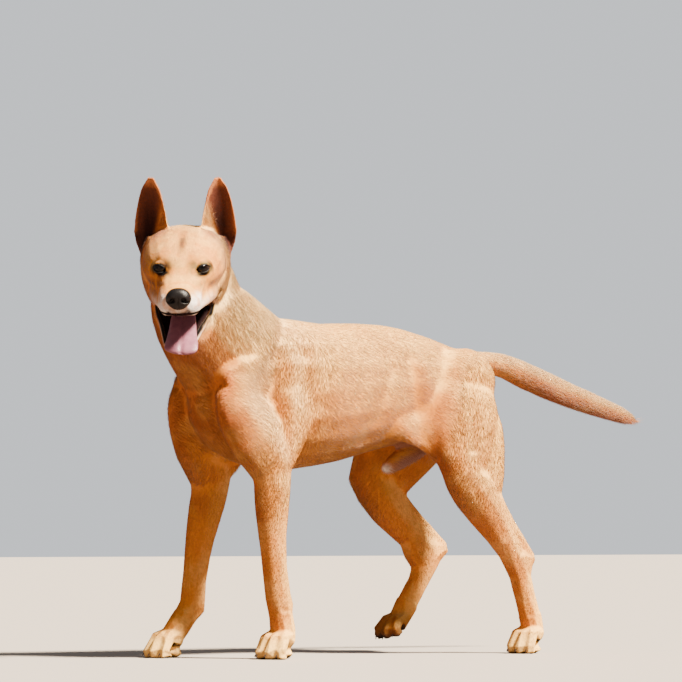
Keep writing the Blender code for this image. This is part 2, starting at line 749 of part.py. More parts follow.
# ---------------------------------------------------------------- assembly
# Where the skin is parted: a place in the piece, a place on the cut, its normal, and the cut's length.
NECK_CUT = Vector((0.24, 0.0, 0.50)), (0.190, 0.0, 0.455), (0.60, 0.0, 0.80), 0.30
TAIL_CUT = Vector((-0.42, 0.0, 0.40)), (-0.272, 0.0, 0.446), (1.0, 0.0, -0.05), 0.075
THIGH_CUT_HEIGHT, THIGH_CUT_SHIFT = 0.293, -0.012  # just under the belly, and behind the bone
PAW_CUT = {"fore": 0.62, "hind": 0.24}  # share of the way from the knuckle up to the wrist or the hock
PAW_CUT_BLOCK = (0.10, 0.10, 0.12)
FORELEG_CUT, THIGH_CUT, HOCK_CUT = 0.10, 0.80, 0.90  # share of the way down the forearm, thigh and shin
FORELEG_CUT_SIZE, THIGH_CUT_SIZE, HOCK_CUT_SIZE = (0.10,), (0.20, 0.116), (0.12, 0.09)
FLOOR_BLOCK = (0.3, 0.3, 0.1)


def paw_cut(leg):
    """The plane that parts a paw from its leg, and the direction up the leg."""
    end, side = leg.split("_")
    joints = (FORE if end == "fore" else HIND)[side]
    top = joints["wrist" if end == "fore" else "hock"]
    up = (top - joints["knuckle"]).normalized()
    return along(joints["knuckle"], top, PAW_CUT[end]), up


def build_body():
    """Neck, trunk, tail and the legs above their paws."""
    masses = trunk_masses() + neck_masses() + tail_masses()
    for side in ("left", "right"):
        masses += foreleg_masses(side) + hindleg_masses(side)
    body = fuse("body", masses, BODY_VOXEL, BODY_SMOOTHING, BODY_TRIANGLES)
    for leg in PAW_AIM:
        place, up = paw_cut(leg)
        boolean(body, box("below", place - up * (PAW_CUT_BLOCK[2] + GAP) / 2, PAW_CUT_BLOCK, up))
    body = part_off(body, "neck", *NECK_CUT)
    body = part_off(body, "tail", *TAIL_CUT)
    for side, j in FORE.items():
        place = along(j["elbow"], j["wrist"], FORELEG_CUT)
        near = along(place, j["wrist"], 0.5)
        body = part_off(body, "foreleg_" + side, near, place, j["elbow"] - j["wrist"], *FORELEG_CUT_SIZE)
    for side, j in HIND.items():
        place = along(j["hip"], j["knee"], THIGH_CUT) + Vector((THIGH_CUT_SHIFT, 0, 0))
        place.z = THIGH_CUT_HEIGHT
        near = along(j["knee"], j["knuckle"], 0.5)
        body = part_off(body, "leg", near, place, (0, 0, 1), *THIGH_CUT_SIZE)
        place, near = along(j["knee"], j["hock"], HOCK_CUT), along(j["hock"], j["knuckle"], 0.5)
        leg = part_off(bpy.data.objects["leg"], "hock_" + side, near, place, j["knee"] - j["hock"], *HOCK_CUT_SIZE)
        leg.name = leg.data.name = "hindleg_" + side
    body.name = body.data.name = "trunk"


def build_head():
    """Head and lower jaw, with the sockets of what sits in them, and the neck hollowed to take them."""
    head = fuse("head", head_masses(), HEAD_VOXEL, HEAD_SMOOTHING, HEAD_TRIANGLES)
    jaw = fuse("lower_jaw", jaw_masses(), HEAD_VOXEL, JAW_SMOOTHING, JAW_TRIANGLES)
    neck = bpy.data.objects["neck"]
    keep_largest(trim(trim(neck, head), jaw))
    boolean(head, mouth_gap())
    jaw = keep_largest(trim(jaw, head))
    boolean(head, palate_hollow())
    for piece in (head, jaw):
        boolean(piece, tongue(GAP, "tongue_room"))
    for side in (1, -1):
        boolean(head, eye(side, GAP, "eye_room"))
    keep_largest(jaw)
    head = keep_largest(head)
    tongue()
    keep_largest(trim(nose(), head))
    for side, name in ((1, "left"), (-1, "right")):
        eye(side, name="eye_" + name)
        keep_largest(trim(ear(side, name="ear_" + name), head))


def build_paws():
    for leg in PAW_AIM:
        paw = fuse("paw_" + leg, paw_masses(leg), PAW_VOXEL, PAW_SMOOTHING, PAW_TRIANGLES)
        place, up = paw_cut(leg)
        keep_above(paw, place - up * GAP, -up)
        if PAW_AIM[leg][1] == 0:
            boolean(paw, box("floor", (place.x, place.y, -FLOOR_BLOCK[2] / 2), FLOOR_BLOCK))
        paw = keep_largest(paw)
        for toe, spec in TOES.items():
            keep_largest(trim(claw(f"claw_{leg}_{toe}", leg, spec), paw))


def settle():
    """Turns the dog to face -X, its left side to -Y, and centres its box over the origin."""
    turn = Matrix.Rotation(math.pi, 4, "Z")
    for obj in collection.objects:
        obj.data.transform(turn)
    points = [v.co for obj in collection.objects for v in obj.data.vertices]
    low = Vector(min(p[k] for p in points) for k in range(3))
    high = Vector(max(p[k] for p in points) for k in range(3))
    shift = Matrix.Translation((-(low.x + high.x) / 2, -(low.y + high.y) / 2, -low.z))
    for obj in collection.objects:
        obj.data.transform(shift)
    print("moved by", tuple(round(c, 5) for c in shift.to_translation()))


def paint():
    looks = {
        "coat": make_material("coat", COAT, 0.85),
        "pale": make_material("pale_coat", PALE_COAT, 0.85),
        "horn": make_material("horn", DARK_HORN, 0.45),
        "eye": make_material("eye", EYE_BROWN, 0.08),
        "nose": make_material("nose_leather", NOSE_BLACK, 0.50),
        "tongue": make_material("tongue", TONGUE_PINK, 0.40),
    }
    for obj in collection.objects:
        kind = obj.name.split("_")[0]
        look = {"claw": "horn", "eye": "eye", "nose": "nose", "tongue": "tongue", "paw": "pale"}.get(kind, "coat")
        obj.data.materials.clear()
        obj.data.materials.append(looks[look])


def main():
    global collection
    clear_scene()
    collection = bpy.data.collections.new("dog")
    bpy.context.scene.collection.children.link(collection)
    build_body()
    build_head()
    build_paws()
    settle()
    paint()


main()
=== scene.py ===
# %% [markdown]
# # A village dog, still, in mid-step
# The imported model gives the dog's solids at their real size. This lesson dresses them: one skin over all
# the flesh, eyes with lids, a nose, a tongue, claws, and a short coat made of thin tufts that follow the
# lie of the hair. The solids are loaded first, because every place and size below is read from them.

# %% Load the solids
import math

import bpy
import numpy as np
from mathutils import Matrix, Vector


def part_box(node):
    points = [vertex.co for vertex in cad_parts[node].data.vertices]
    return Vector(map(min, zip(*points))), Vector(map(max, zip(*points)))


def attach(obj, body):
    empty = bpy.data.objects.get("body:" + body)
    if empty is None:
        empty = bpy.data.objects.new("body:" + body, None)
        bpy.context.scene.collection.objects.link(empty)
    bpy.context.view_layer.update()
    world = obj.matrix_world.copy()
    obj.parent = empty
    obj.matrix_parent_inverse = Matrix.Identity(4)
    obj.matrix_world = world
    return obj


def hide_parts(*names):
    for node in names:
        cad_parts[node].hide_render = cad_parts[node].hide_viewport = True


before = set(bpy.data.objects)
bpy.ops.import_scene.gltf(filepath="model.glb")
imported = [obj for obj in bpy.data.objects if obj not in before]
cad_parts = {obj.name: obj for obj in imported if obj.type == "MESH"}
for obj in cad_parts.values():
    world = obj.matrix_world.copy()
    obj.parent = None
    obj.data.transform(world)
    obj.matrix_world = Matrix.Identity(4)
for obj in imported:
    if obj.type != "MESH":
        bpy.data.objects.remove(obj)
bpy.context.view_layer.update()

bpy.ops.object.select_all(action="DESELECT")

# %% [markdown]
# ## Helpers
# Fields over the skin, such as the length of the hair or its colour, are arrays with one row for each
# point. A ramp turns a distance into a share between 0 and 1, and is used for every soft edge. A mesh's
# points are read and written as one array, which is far quicker than a loop over them.

# %% Arrays and ramps
LEGS = ("fore_left", "fore_right", "hind_left", "hind_right")
PAWS = ["paw_" + leg for leg in LEGS]
MM = 0.001


def both(part):
    return [part + "_left", part + "_right"]


def read(items, key, width, kind=np.float32):
    """One value of each item of a mesh, as the rows of an array."""
    values = np.empty(len(items) * width, kind)
    items.foreach_get(key, values)
    return values.reshape(-1, width)


def vertices(obj):
    return read(obj.data.vertices, "co", 3).astype(float)


def vertex_normals(obj):
    return read(obj.data.vertex_normals, "vector", 3).astype(float)


def move_vertices(obj, points):
    obj.data.vertices.foreach_set("co", points.astype(np.float32).ravel())
    obj.data.update()


def ramp(value, start, end):
    """0 before start and 1 after end, smooth between; start may be the greater."""
    share = np.clip((value - start) / (end - start), 0, 1)
    return share * share * (3 - 2 * share)


def unit(rows):
    return rows / np.maximum(np.linalg.norm(rows, axis=-1, keepdims=True), 1e-9)


def linear(code):
    """An sRGB hex colour as linear red, green and blue."""
    shares = np.array([int(code[k:k + 2], 16) for k in (1, 3, 5)]) / 255
    return np.where(shares <= 0.04045, shares / 12.92, ((shares + 0.055) / 1.055) ** 2.4)


def select_only(*objs):
    bpy.ops.object.select_all(action="DESELECT")
    for obj in objs:
        obj.select_set(True)
    bpy.context.view_layer.objects.active = objs[0]


def apply_modifier(obj, kind, **settings):
    modifier = obj.modifiers.new(kind.lower(), kind)
    for key, value in settings.items():
        setattr(modifier, key, value)
    select_only(obj)
    bpy.ops.object.modifier_apply(modifier=modifier.name)


def edit_mesh(obj, operator, **settings):
    """Runs one edit operator on the whole of a mesh."""
    select_only(obj)
    bpy.ops.object.mode_set(mode="EDIT")
    bpy.ops.mesh.select_all(action="SELECT")
    operator(**settings)
    bpy.ops.object.mode_set(mode="OBJECT")


def copy_node(node):
    """A copy of a CAD node whose loose triangles are merged into one surface."""
    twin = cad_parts[node].copy()
    twin.data = twin.data.copy()
    twin.parent = None
    twin.matrix_world = Matrix.Identity(4)
    bpy.context.collection.objects.link(twin)
    edit_mesh(twin, bpy.ops.mesh.remove_doubles, threshold=0.00001)
    twin.data.materials.clear()
    return twin


# %% [markdown]
# ## Where things are
# Features of the face are easiest to place in the head's own frame: X runs forwards to the nose, Y to the
# dog's left and Z up, from a point midway between the eyes. The frame comes from the eyes and the nose of
# the solids, so it follows the head however it is turned.

# %% The head's own frame
EYE = np.array([0.003, 0.029, 0.0])  # the left eye's middle in that frame
NOSE_DROP = math.radians(18.0)  # how far the nose lies below straight ahead


def middle(node):
    low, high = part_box(node)
    return (low + high) / 2


def ends(node, axis):
    """The middles of the first and the last tenth of a node along an axis."""
    points = vertices(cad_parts[node])
    points = points[np.argsort(points[:, axis])]
    tenth = max(3, len(points) // 10)
    return points[:tenth].mean(0), points[-tenth:].mean(0)


between = (middle("eye_left") + middle("eye_right")) / 2
leftwards = (middle("eye_left") - middle("eye_right")).normalized()
to_nose = middle("nose") - between
to_nose = (to_nose - leftwards * to_nose.dot(leftwards)).normalized()
forwards = Matrix.Rotation(-NOSE_DROP, 3, leftwards) @ to_nose
FACE_AXES = np.array([forwards, leftwards, forwards.cross(leftwards)])
FACE_ORIGIN = np.array(between - forwards * EYE[0])


def in_face(points):
    return (points - FACE_ORIGIN) @ FACE_AXES.T


def from_face(local):
    return np.asarray(local, float) @ FACE_AXES + FACE_ORIGIN


print("head looks along", np.round(FACE_AXES[0], 3))

# %% [markdown]
# ## The lie of the coat
# Hair lies backwards on a dog's body, down its legs and outwards along its tail and ears. A few bones, each
# a line from where its hair starts to where it ends, give that direction everywhere: a point on the skin
# takes the nearest bones' directions. The same bones carry the hair's length, the tufts' width, how many
# there are, and how much the skin is smoothed there.

# %% Bones
HAIR, TUFT_WIDTH, TUFT_DENSITY, SMOOTHING = 3, 4, 5, 6  # columns of the table
trunk_front, trunk_back = ends("trunk", 0)
# name: start, end, radius of the limb, hair length in mm, tuft width in mm, tufts per square mm, smoothing
BONES = {
    "trunk": (trunk_front + (0.02, 0, 0), trunk_back, 0.085, 10.0, 0.58, 0.50, 0.80),
    "neck": (from_face((-0.095, 0, 0.0)), trunk_front + (0.06, 0, 0.04), 0.068, 12.0, 0.60, 0.50, 0.70),
    "skull": (from_face((0.005, 0, 0.0)), from_face((-0.10, 0, -0.005)), 0.060, 5.5, 0.46, 1.00, 0.12),
    "muzzle": (from_face((0.085, 0, -0.03)), from_face((0.012, 0, -0.022)), 0.036, 2.8, 0.38, 1.20, 0.06),
    "lower_jaw": (from_face((0.045, 0, -0.105)), from_face((-0.055, 0, -0.070)),
                  0.036, 3.5, 0.42, 0.90, 0.06),
    "tail": (*ends("tail", 0), 0.024, 13.0, 0.62, 0.55, 0.45),
}
for side in ("left", "right"):
    hip = trunk_back + (-0.05, middle("hindleg_" + side).y - trunk_back[1], 0.0)
    knee, heel = ends("hindleg_" + side, 2)[::-1]
    elbow, wrist = ends("foreleg_" + side, 2)[::-1]
    withers = elbow + (0.03, 0.0, 0.17)
    root, tip = ends("ear_" + side, 2)
    BONES["shoulder_" + side] = (withers, elbow, 0.046, 9.0, 0.56, 0.50, 0.55)
    BONES["thigh_" + side] = (hip, knee, 0.052, 9.5, 0.56, 0.50, 0.55)
    BONES["foreleg_" + side] = (elbow, wrist, 0.024, 5.5, 0.58, 0.48, 0.20)
    BONES["hindleg_" + side] = (knee, heel, 0.028, 6.5, 0.60, 0.46, 0.22)
    BONES["hock_" + side] = (*ends("hock_" + side, 2)[::-1], 0.017, 4.5, 0.52, 0.55, 0.12)
    BONES["ear_" + side] = (root, tip, 0.020, 3.2, 0.45, 0.65, 0.035)
for paw in PAWS:
    BONES[paw] = (ends(paw, 2)[1], ends(paw, 0)[0], 0.022, 3.6, 0.48, 0.60, 0.05)
NAMES = list(BONES)


def bone_shares(points):
    """How much each bone counts at each point; a row's shares add up to 1."""
    shares = np.empty((len(points), len(BONES)))
    for column, (start, end, radius, *_) in enumerate(BONES.values()):
        along = end - start
        at = np.clip((points - start) @ along / (along @ along), 0, 1)
        gap = np.linalg.norm(points - start - at[:, None] * along, axis=1)
        shares[:, column] = (radius / np.maximum(gap, 0.2 * radius)) ** 7  # the nearest counts most
    return shares / shares.sum(1, keepdims=True)


def bone_field(shares, column):
    return shares @ np.array([bone[column] for bone in BONES.values()])


def share_of(shares, start):
    """The shares of all bones whose name starts with a word; "t" stands for trunk, tail and thighs."""
    return sum(shares[:, k] for k, name in enumerate(NAMES) if name.startswith(start))


def head_share(shares):
    return share_of(shares, "skull") + share_of(shares, "muzzle") + share_of(shares, "lower_jaw")


print(len(BONES), "bones")

# %% [markdown]
# ## Skin
# On a real dog one skin runs over everything, so the solids of the flesh are swollen until they overlap,
# remeshed as one surface of small cells, and smoothed. The smoothing is a plain average with the
# neighbours; it is done twice, and the second time it gives back the size that the first took away. Each
# bone says how strong it is: firm on the trunk, faint on ears and toes.

# %% Join and remesh the flesh
SEAM = 0.8 * MM  # how far the solids are swollen to close the gaps between them
VOXEL = 1.5 * MM
FLESH = ["head", "lower_jaw", "neck", "trunk", "tail", *both("ear"), *both("foreleg"), *both("hindleg")]
FLESH += [*both("hock"), *PAWS]
copies = [copy_node(name) for name in FLESH + both("eye")]
for twin in copies:
    move_vertices(twin, vertices(twin) + vertex_normals(twin) * SEAM)
select_only(*copies)
bpy.ops.object.join()
skin = bpy.context.object
skin.name = "skin"
apply_modifier(skin, "REMESH", mode="VOXEL", voxel_size=VOXEL)
edges = read(skin.data.edges, "vertices", 2, np.int32)
print("skin cells:", len(skin.data.polygons))

# %% Smooth it
ROUNDS = 90


def smooth(values, strength, rounds):
    """Values at the skin's points, moved towards their neighbours' mean again and again."""
    here, there = edges.T
    count = np.bincount(edges.ravel(), minlength=len(values))
    columns = values.reshape(len(values), -1).T.copy()
    for _ in range(rounds):
        for column in columns:
            total = np.bincount(here, column[there], len(column))
            total += np.bincount(there, column[here], len(column))
            column += strength * (total / count - column)
    return columns.T.reshape(values.shape)


points = vertices(skin)
shares = bone_shares(points)
strength = 0.5 * bone_field(shares, SMOOTHING)
level = smooth(points, strength, ROUNDS)
move_vertices(skin, level)
normals = vertex_normals(skin)
lost = ((points - level) * normals).sum(1)
points = level + normals * smooth(lost, strength, ROUNDS)[:, None]
print("smoothing moved the skin by up to", round(float(np.abs(points - level).max()) / MM, 1), "mm")

# %% [markdown]
# ## Face, lids and lips
# The skin sinks by the depth of the coat, so that the tips of the hair reach the solids' surface. Then the
# face gets what the solids leave out. A lid is skin that lies over the eyeball outside an almond-shaped
# slit, and inside the slit the skin drops behind the ball. A furrow runs up the forehead, the lips have an
# edge, and a groove runs down from the nose. All of them are heights added in the head's frame.

# %% Sink the skin under the coat
LIE = 0.14  # height of the coat over the skin, as a share of the hair's length


above_sole = ramp(points[:, 2], 3 * MM, 9 * MM)  # the soles have no coat
depth = SEAM + LIE * bone_field(shares, HAIR) * MM * above_sole
points = points - normals * depth[:, None]

# %% The eyes' slits
EYE_RADIUS = 10.5 * MM
EYE_REACH = 20 * MM  # how far from its middle an eye changes the skin
LID_OUTER, LID_INNER = 15 * MM, 11 * MM  # the lid lies on the ball inside the second
BEHIND = 3 * MM  # how far the skin drops behind the ball inside the slit
SLIT_HALF_LENGTH = 11.6 * MM
SLIT_RISE, SLIT_DROP = 6.6 * MM, 5.0 * MM  # of the upper and the lower lid
LID = 1.3 * MM  # thickness


def eye_axes(side):
    """Along the slit towards the temple, up, and out of the head, in the head's frame, as rows."""
    out = unit([0.90, side * 0.38, 0.20])
    along = np.array([-0.38, side * 0.90, 0.15])
    along = unit(along - out * (along @ out))
    upwards = np.cross(out, along) * side
    return np.array([along, upwards, out])


def slit_height(along, above):
    """Half the height of the slit at a place along it."""
    share = np.clip(1 - (along / SLIT_HALF_LENGTH) ** 2, 0, 1) ** 0.75
    return np.where(above, SLIT_RISE, SLIT_DROP) * share


for side in (1, -1):
    axes = eye_axes(side)
    centre = EYE * (1, side, 1)
    local = (in_face(points) - centre) @ axes.T
    u, v, w = local.T
    around = np.hypot(u, v)
    near = (around < EYE_REACH) & (w > -6 * MM) & (w < 24 * MM)
    ball = np.sqrt(np.clip((EYE_RADIUS + LID) ** 2 - around ** 2, 0, None))
    lid = np.where(near, np.maximum(w, ball), w)
    covered = w + (lid - w) * ramp(around, LID_OUTER, LID_INNER)
    edge = np.abs(v) / np.maximum(slit_height(u, v > 0), 0.4 * MM)
    inside = near & (edge < 1.0) & (np.abs(u) < SLIT_HALF_LENGTH)
    sunk = np.sqrt(np.clip(EYE_RADIUS ** 2 - around ** 2, 0, None)) - BEHIND
    local[:, 2] = np.where(inside, sunk, covered)
    points = np.where(near[:, None], from_face(local @ axes + centre), points)


# %% Folds and muscles of the body
# fold: x and z of both its ends on the side view, half-width and height in mm
FOLDS = {
    "back edge of the shoulder": (-0.222, 0.450, -0.240, 0.290, 14.0, 2.6),
    "hollow behind the shoulder": (-0.196, 0.440, -0.212, 0.300, 13.0, -2.8),
    "shoulder blade's ridge": (-0.235, 0.490, -0.300, 0.400, 11.0, 1.8),
    "upper arm": (-0.310, 0.350, -0.262, 0.300, 16.0, 2.0),
    "hollow before the thigh": (-0.006, 0.440, 0.016, 0.310, 14.0, -3.2),
    "front edge of the thigh": (0.020, 0.430, 0.040, 0.300, 13.0, 2.0),
    "fold of the flank": (-0.020, 0.345, 0.030, 0.290, 9.0, 1.6),
    "last ribs": (-0.075, 0.420, -0.130, 0.300, 12.0, 1.2),
    "hollow behind the ribs": (-0.040, 0.430, -0.080, 0.320, 14.0, -1.8),
    "back of the thigh": (0.130, 0.420, 0.110, 0.300, 13.0, 1.6),
    "groove down the thigh": (0.095, 0.430, 0.085, 0.310, 9.0, -2.0),
}
across_body = points[:, 1] - trunk_back[1]
sideways = ramp(np.abs(across_body), 0.020, 0.045) * ramp(np.abs(normals[:, 1]), 0.15, 0.55)
body_share = share_of(shares, "t") + share_of(shares, "shoulder") + share_of(shares, "neck")
sideways *= ramp(body_share, 0.4, 0.8)
relief = np.zeros(len(points))
for x0, z0, x1, z1, wide, high in FOLDS.values():
    start, line = np.array([x0, z0]), np.array([x1 - x0, z1 - z0])
    offset = points[:, [0, 2]] - start
    at = np.clip(offset @ line / (line @ line), 0, 1)
    away = np.linalg.norm(offset - at[:, None] * line, axis=1) / (wide * MM)
    relief += high * MM * np.exp(-away ** 2)
points += normals * (relief * sideways)[:, None]
print("folds shaped by up to", round(float(np.abs(relief * sideways).max()) / MM, 2), "mm")


# %% Brow, furrow, muzzle
def spot(local, centre, size):
    """1 at a place on both sides of the head, fading over a size."""
    away = (np.abs(local * (0, 1, 0)) + local * (1, 0, 1) - centre) / size
    return np.exp(-(away ** 2).sum(1))


# place: centre and size in the head's frame, height in mm
BUMPS = {
    "brow": ((-0.004, 0.024, 0.017), (0.012, 0.012, 0.008), 1.6),
    "furrow up the forehead": ((-0.030, 0.0, 0.040), (0.028, 0.006, 0.020), -1.4),
    "hollow under the eye": ((0.014, 0.030, -0.016), (0.014, 0.010, 0.010), -1.6),
    "whisker pad": ((0.058, 0.024, -0.038), (0.014, 0.012, 0.010), 1.4),
    "hollow behind the pad": ((0.028, 0.030, -0.036), (0.012, 0.010, 0.012), -0.9),
    "groove under the nose": ((0.084, 0.0, -0.043), (0.012, 0.0016, 0.010), -1.8),
    "cheekbone": ((-0.034, 0.056, -0.012), (0.024, 0.012, 0.008), 1.6),
}
local = in_face(points)
height = sum(high * MM * spot(local, centre, size) for centre, size, high in BUMPS.values())
height *= ramp(head_share(shares), 0.2, 0.6)
points += normals * height[:, None]
points[:, 2] = np.maximum(points[:, 2], 0)
move_vertices(skin, points)
print("face shaped by up to", round(float(np.abs(height).max()) / MM, 2), "mm")

# %% [markdown]
# ## Fewer, larger faces on the body
# The head keeps its fine cells. On the body, where the form is smooth, the Decimate modifier merges cells
# until the whole skin is well under 200,000 triangles. A vertex group tells it where it may work.

# %% Thin the body
SKIN_TRIANGLES = 185000
group = skin.vertex_groups.new(name="may_be_thinned")
thinned = 1 - np.clip(head_share(shares), 0, 1)
for step in range(11):
    chosen = np.flatnonzero(np.round(thinned * 10) == step)
    group.add(chosen.tolist(), max(step / 10, 0.02), "REPLACE")
apply_modifier(skin, "DECIMATE", ratio=SKIN_TRIANGLES / (2 * len(skin.data.polygons)),
               vertex_group=group.name, vertex_group_factor=1.0)
skin.vertex_groups.clear()
apply_modifier(skin, "TRIANGULATE")
skin.data.shade_smooth()
points, normals = vertices(skin), vertex_normals(skin)
shares = bone_shares(points)
local, local_normals = in_face(points), normals @ FACE_AXES.T
print("skin triangles:", len(skin.data.polygons))

# %% [markdown]
# ## The mouth
# The lips run from the corners of the mouth to the front of the muzzle, the lower ones dropped with the
# jaw. Their edges are black and bare, and inside them the lining of the mouth is dark red. The same two
# lines give both.

# %% Lips and lining
JAW_HINGE = np.array([-0.065, 0.0, -0.028])
JAW_DROP, JAW_SIDEWAYS = math.radians(24.0), math.radians(-2.5)
JAW_TURN = Matrix.Rotation(JAW_DROP, 3, "Y") @ Matrix.Rotation(JAW_SIDEWAYS, 3, "Z")
LIP_X = np.array([-0.050, -0.038, -0.026, -0.010, 0.014, 0.040, 0.066, 0.090])
UPPER_LIP = np.array([-0.0550, -0.0545, -0.0545, -0.0540, -0.0525, -0.0500, -0.0475, -0.0460])
MOUTH_HALF_WIDTH = np.array([0.049, 0.048, 0.046, 0.042, 0.036, 0.029, 0.022, 0.015])
JAW_X = np.array([-0.080, -0.050, -0.020, 0.010, 0.036, 0.055, 0.063, 0.068])
JAW_HALF_WIDTH = np.array([0.039, 0.0475, 0.0425, 0.0330, 0.0265, 0.0215, 0.0145, 0.004])
JAW_TOP = -0.0510
MOUTH_CORNER = np.array([(-0.036, 0.046, -0.0555), (-0.048, 0.051, -0.0420)])  # runs up the left cheek


def in_jaw(rows):
    """Places in the head's frame as they would be with the mouth shut; directions if they are normals."""
    return rows @ np.array(JAW_TURN)


def mouth_fields(local, facing):
    """Shares of the mouth's dark lining, of the bare black lips, and of the lower lip's pink edge."""
    x, y, z = local.T
    upper, half = np.interp(x, LIP_X, UPPER_LIP), np.interp(x, LIP_X, MOUTH_HALF_WIDTH)
    roof = ramp(np.abs(y), half, half - 4 * MM) * ramp(-facing[:, 2], 0.1, 0.5)
    roof *= ramp(z, upper + 12 * MM, upper + 8 * MM)
    roof *= ramp(z, upper - 6 * MM, upper - 2 * MM) * ramp(x, 0.088, 0.080)
    edge = ramp(np.abs(z - upper), 2.6 * MM, 1.2 * MM) * ramp(x, -0.050, -0.043)
    edge *= ramp(np.abs(y), half + 7 * MM, half + 4 * MM)
    shut = in_jaw(local - JAW_HINGE) + JAW_HINGE
    width = np.interp(shut[:, 0], JAW_X, JAW_HALF_WIDTH)
    inwards = np.minimum(width - np.abs(shut[:, 1]), 0.8 * (JAW_X[-1] - shut[:, 0]))
    on_jaw = ramp(z, upper - 1 * MM, upper - 4 * MM) * ramp(shut[:, 2], JAW_TOP - 20 * MM, JAW_TOP - 15 * MM)
    on_jaw *= ramp(shut[:, 0], -0.066, -0.056) * ramp(in_jaw(facing)[:, 2], -0.05, 0.35)
    floor = on_jaw * ramp(inwards, 5 * MM, 9 * MM)
    band = on_jaw * ramp(inwards, 0.5 * MM, 2.2 * MM) * (1 - floor)
    pink = ramp(shut[:, 2], JAW_TOP - 11 * MM, JAW_TOP - 5 * MM) * ramp(z, upper, upper - 3 * MM)
    pink *= (1 - band) * (1 - floor) * ramp(shut[:, 0], -0.060, -0.030) * ramp(inwards, -6 * MM, -3 * MM)
    low, high = MOUTH_CORNER
    up = np.clip((z - low[2]) / (high[2] - low[2]), 0, 1)
    away = (local - low * (1 - up[:, None]) - high * up[:, None]) * (0.5, 0, 1)
    away = np.linalg.norm(away, axis=1) + (y < 0)  # the right cheek counts as 1 m away
    corner = ramp(away, 5.0 * MM - 2.0 * MM * up, 3.0 * MM - 1.5 * MM * up)
    return np.maximum(roof, floor), np.maximum.reduce([edge, band, corner]), pink * (1 - corner)


lining, lips, pink_lip = mouth_fields(local, local_normals)
jaw_up = in_jaw(np.eye(3))[:, 2] @ FACE_AXES
MOUTH_DEPTH = 7 * MM
pressed = lining * ramp(local[:, 2], -0.057, -0.062)
points -= jaw_up * (MOUTH_DEPTH * pressed)[:, None]
move_vertices(skin, points)
normals, local = vertex_normals(skin), in_face(points)
local_normals = normals @ FACE_AXES.T
print("points in the mouth:", int((lining > 0.5).sum()), "on the lips:", int((lips > 0.5).sum()))

# %% [markdown]
# ## Markings
# The coat is golden tan, paler on the toes and partly on the neck, and white on the muzzle, with small brown
# marks on the face. Light and shade are painted over it as well: painted light makes the back, the neck and
# the sides that face the key light paler, and painted shade makes what turns away or under more orange and
# brown, as on the chest's front, the throat, the lower flank, the tail's underside, the raised far paw and
# the hollows of the ears. Each marking is a soft-edged mask over the skin, laid over those before it. The
# tufts later take the colour of the skin under them, so skin and coat carry the same markings.

# %% The ear's own place
EAR_ROOT, EAR_TIP = np.array([-0.078, 0.047, -0.006]), np.array([-0.092, 0.055, 0.108])
EAR_TURN, EAR_HALF_WIDTH = math.radians(24), 0.0305


def in_ear(local):
    """Place in the ear: across it, -1 at the inner edge and 1 at the outer, and up it, 1 at the tip."""
    up = np.clip((local[:, 2] - EAR_ROOT[2]) / (EAR_TIP[2] - EAR_ROOT[2]), 0, 0.99)
    x, y = local[:, 0] - EAR_ROOT[0], np.abs(local[:, 1]) - EAR_ROOT[1]
    sideways = y * math.cos(EAR_TURN) - x * math.sin(EAR_TURN) - up * (EAR_TIP[1] - EAR_ROOT[1])
    half = EAR_HALF_WIDTH * (1 - up ** 1.8) ** 0.55 * np.minimum(1.0, 0.62 + 1.6 * up)
    return sideways / half, up


def cup_share(local, facing, ears):
    """1 on the hollow front of the ears."""
    outwards = facing[:, 0] * math.cos(EAR_TURN) + np.sign(local[:, 1]) * facing[:, 1] * math.sin(EAR_TURN)
    return ears * ramp(outwards, -0.10, 0.25)


# %% Colours
TAN, CREAM, ORANGE = linear("#CE822F"), linear("#FCCE78"), linear("#AC572B")
WHITE, BROWN, BLACK = linear("#F3ECE4"), linear("#3A1D10"), linear("#161213")
# the darkest ear colour is painted shade for the ear's hollow and its notch
EAR_RED, EAR_HOLLOW_SHADE, EAR_RIM = linear("#62372A"), linear("#2E1A17"), linear("#BC7648")
PALE, GROIN, PAD = linear("#FDE2B0"), linear("#A97C6C"), linear("#2B2523")
LINING, LIP_PINK = linear("#22090C"), linear("#D8AFA4")


def eye_distance(local, across, high):
    """Distance from the nearer eye, as a share of an oval's half-axes."""
    nearest = np.full(len(local), 9.0)
    for side in (1, -1):
        u, v, w = ((local - EYE * (1, side, 1)) @ eye_axes(side).T).T
        nearest = np.minimum(nearest, np.where(w > -2 * MM, np.hypot(u / across, v / high), 9.0))
    return nearest


def dapple(points, scale):
    """Soft patches from -1 to 1, about one scale across, without a repeat that the eye can find."""
    waves = np.random.default_rng(5).normal(0, 1, (9, 3)) / scale
    phases = np.arange(9) * 1.7
    return np.clip(np.sin(points @ waves.T * 2.2 + phases).sum(1) / 3, -1, 1)


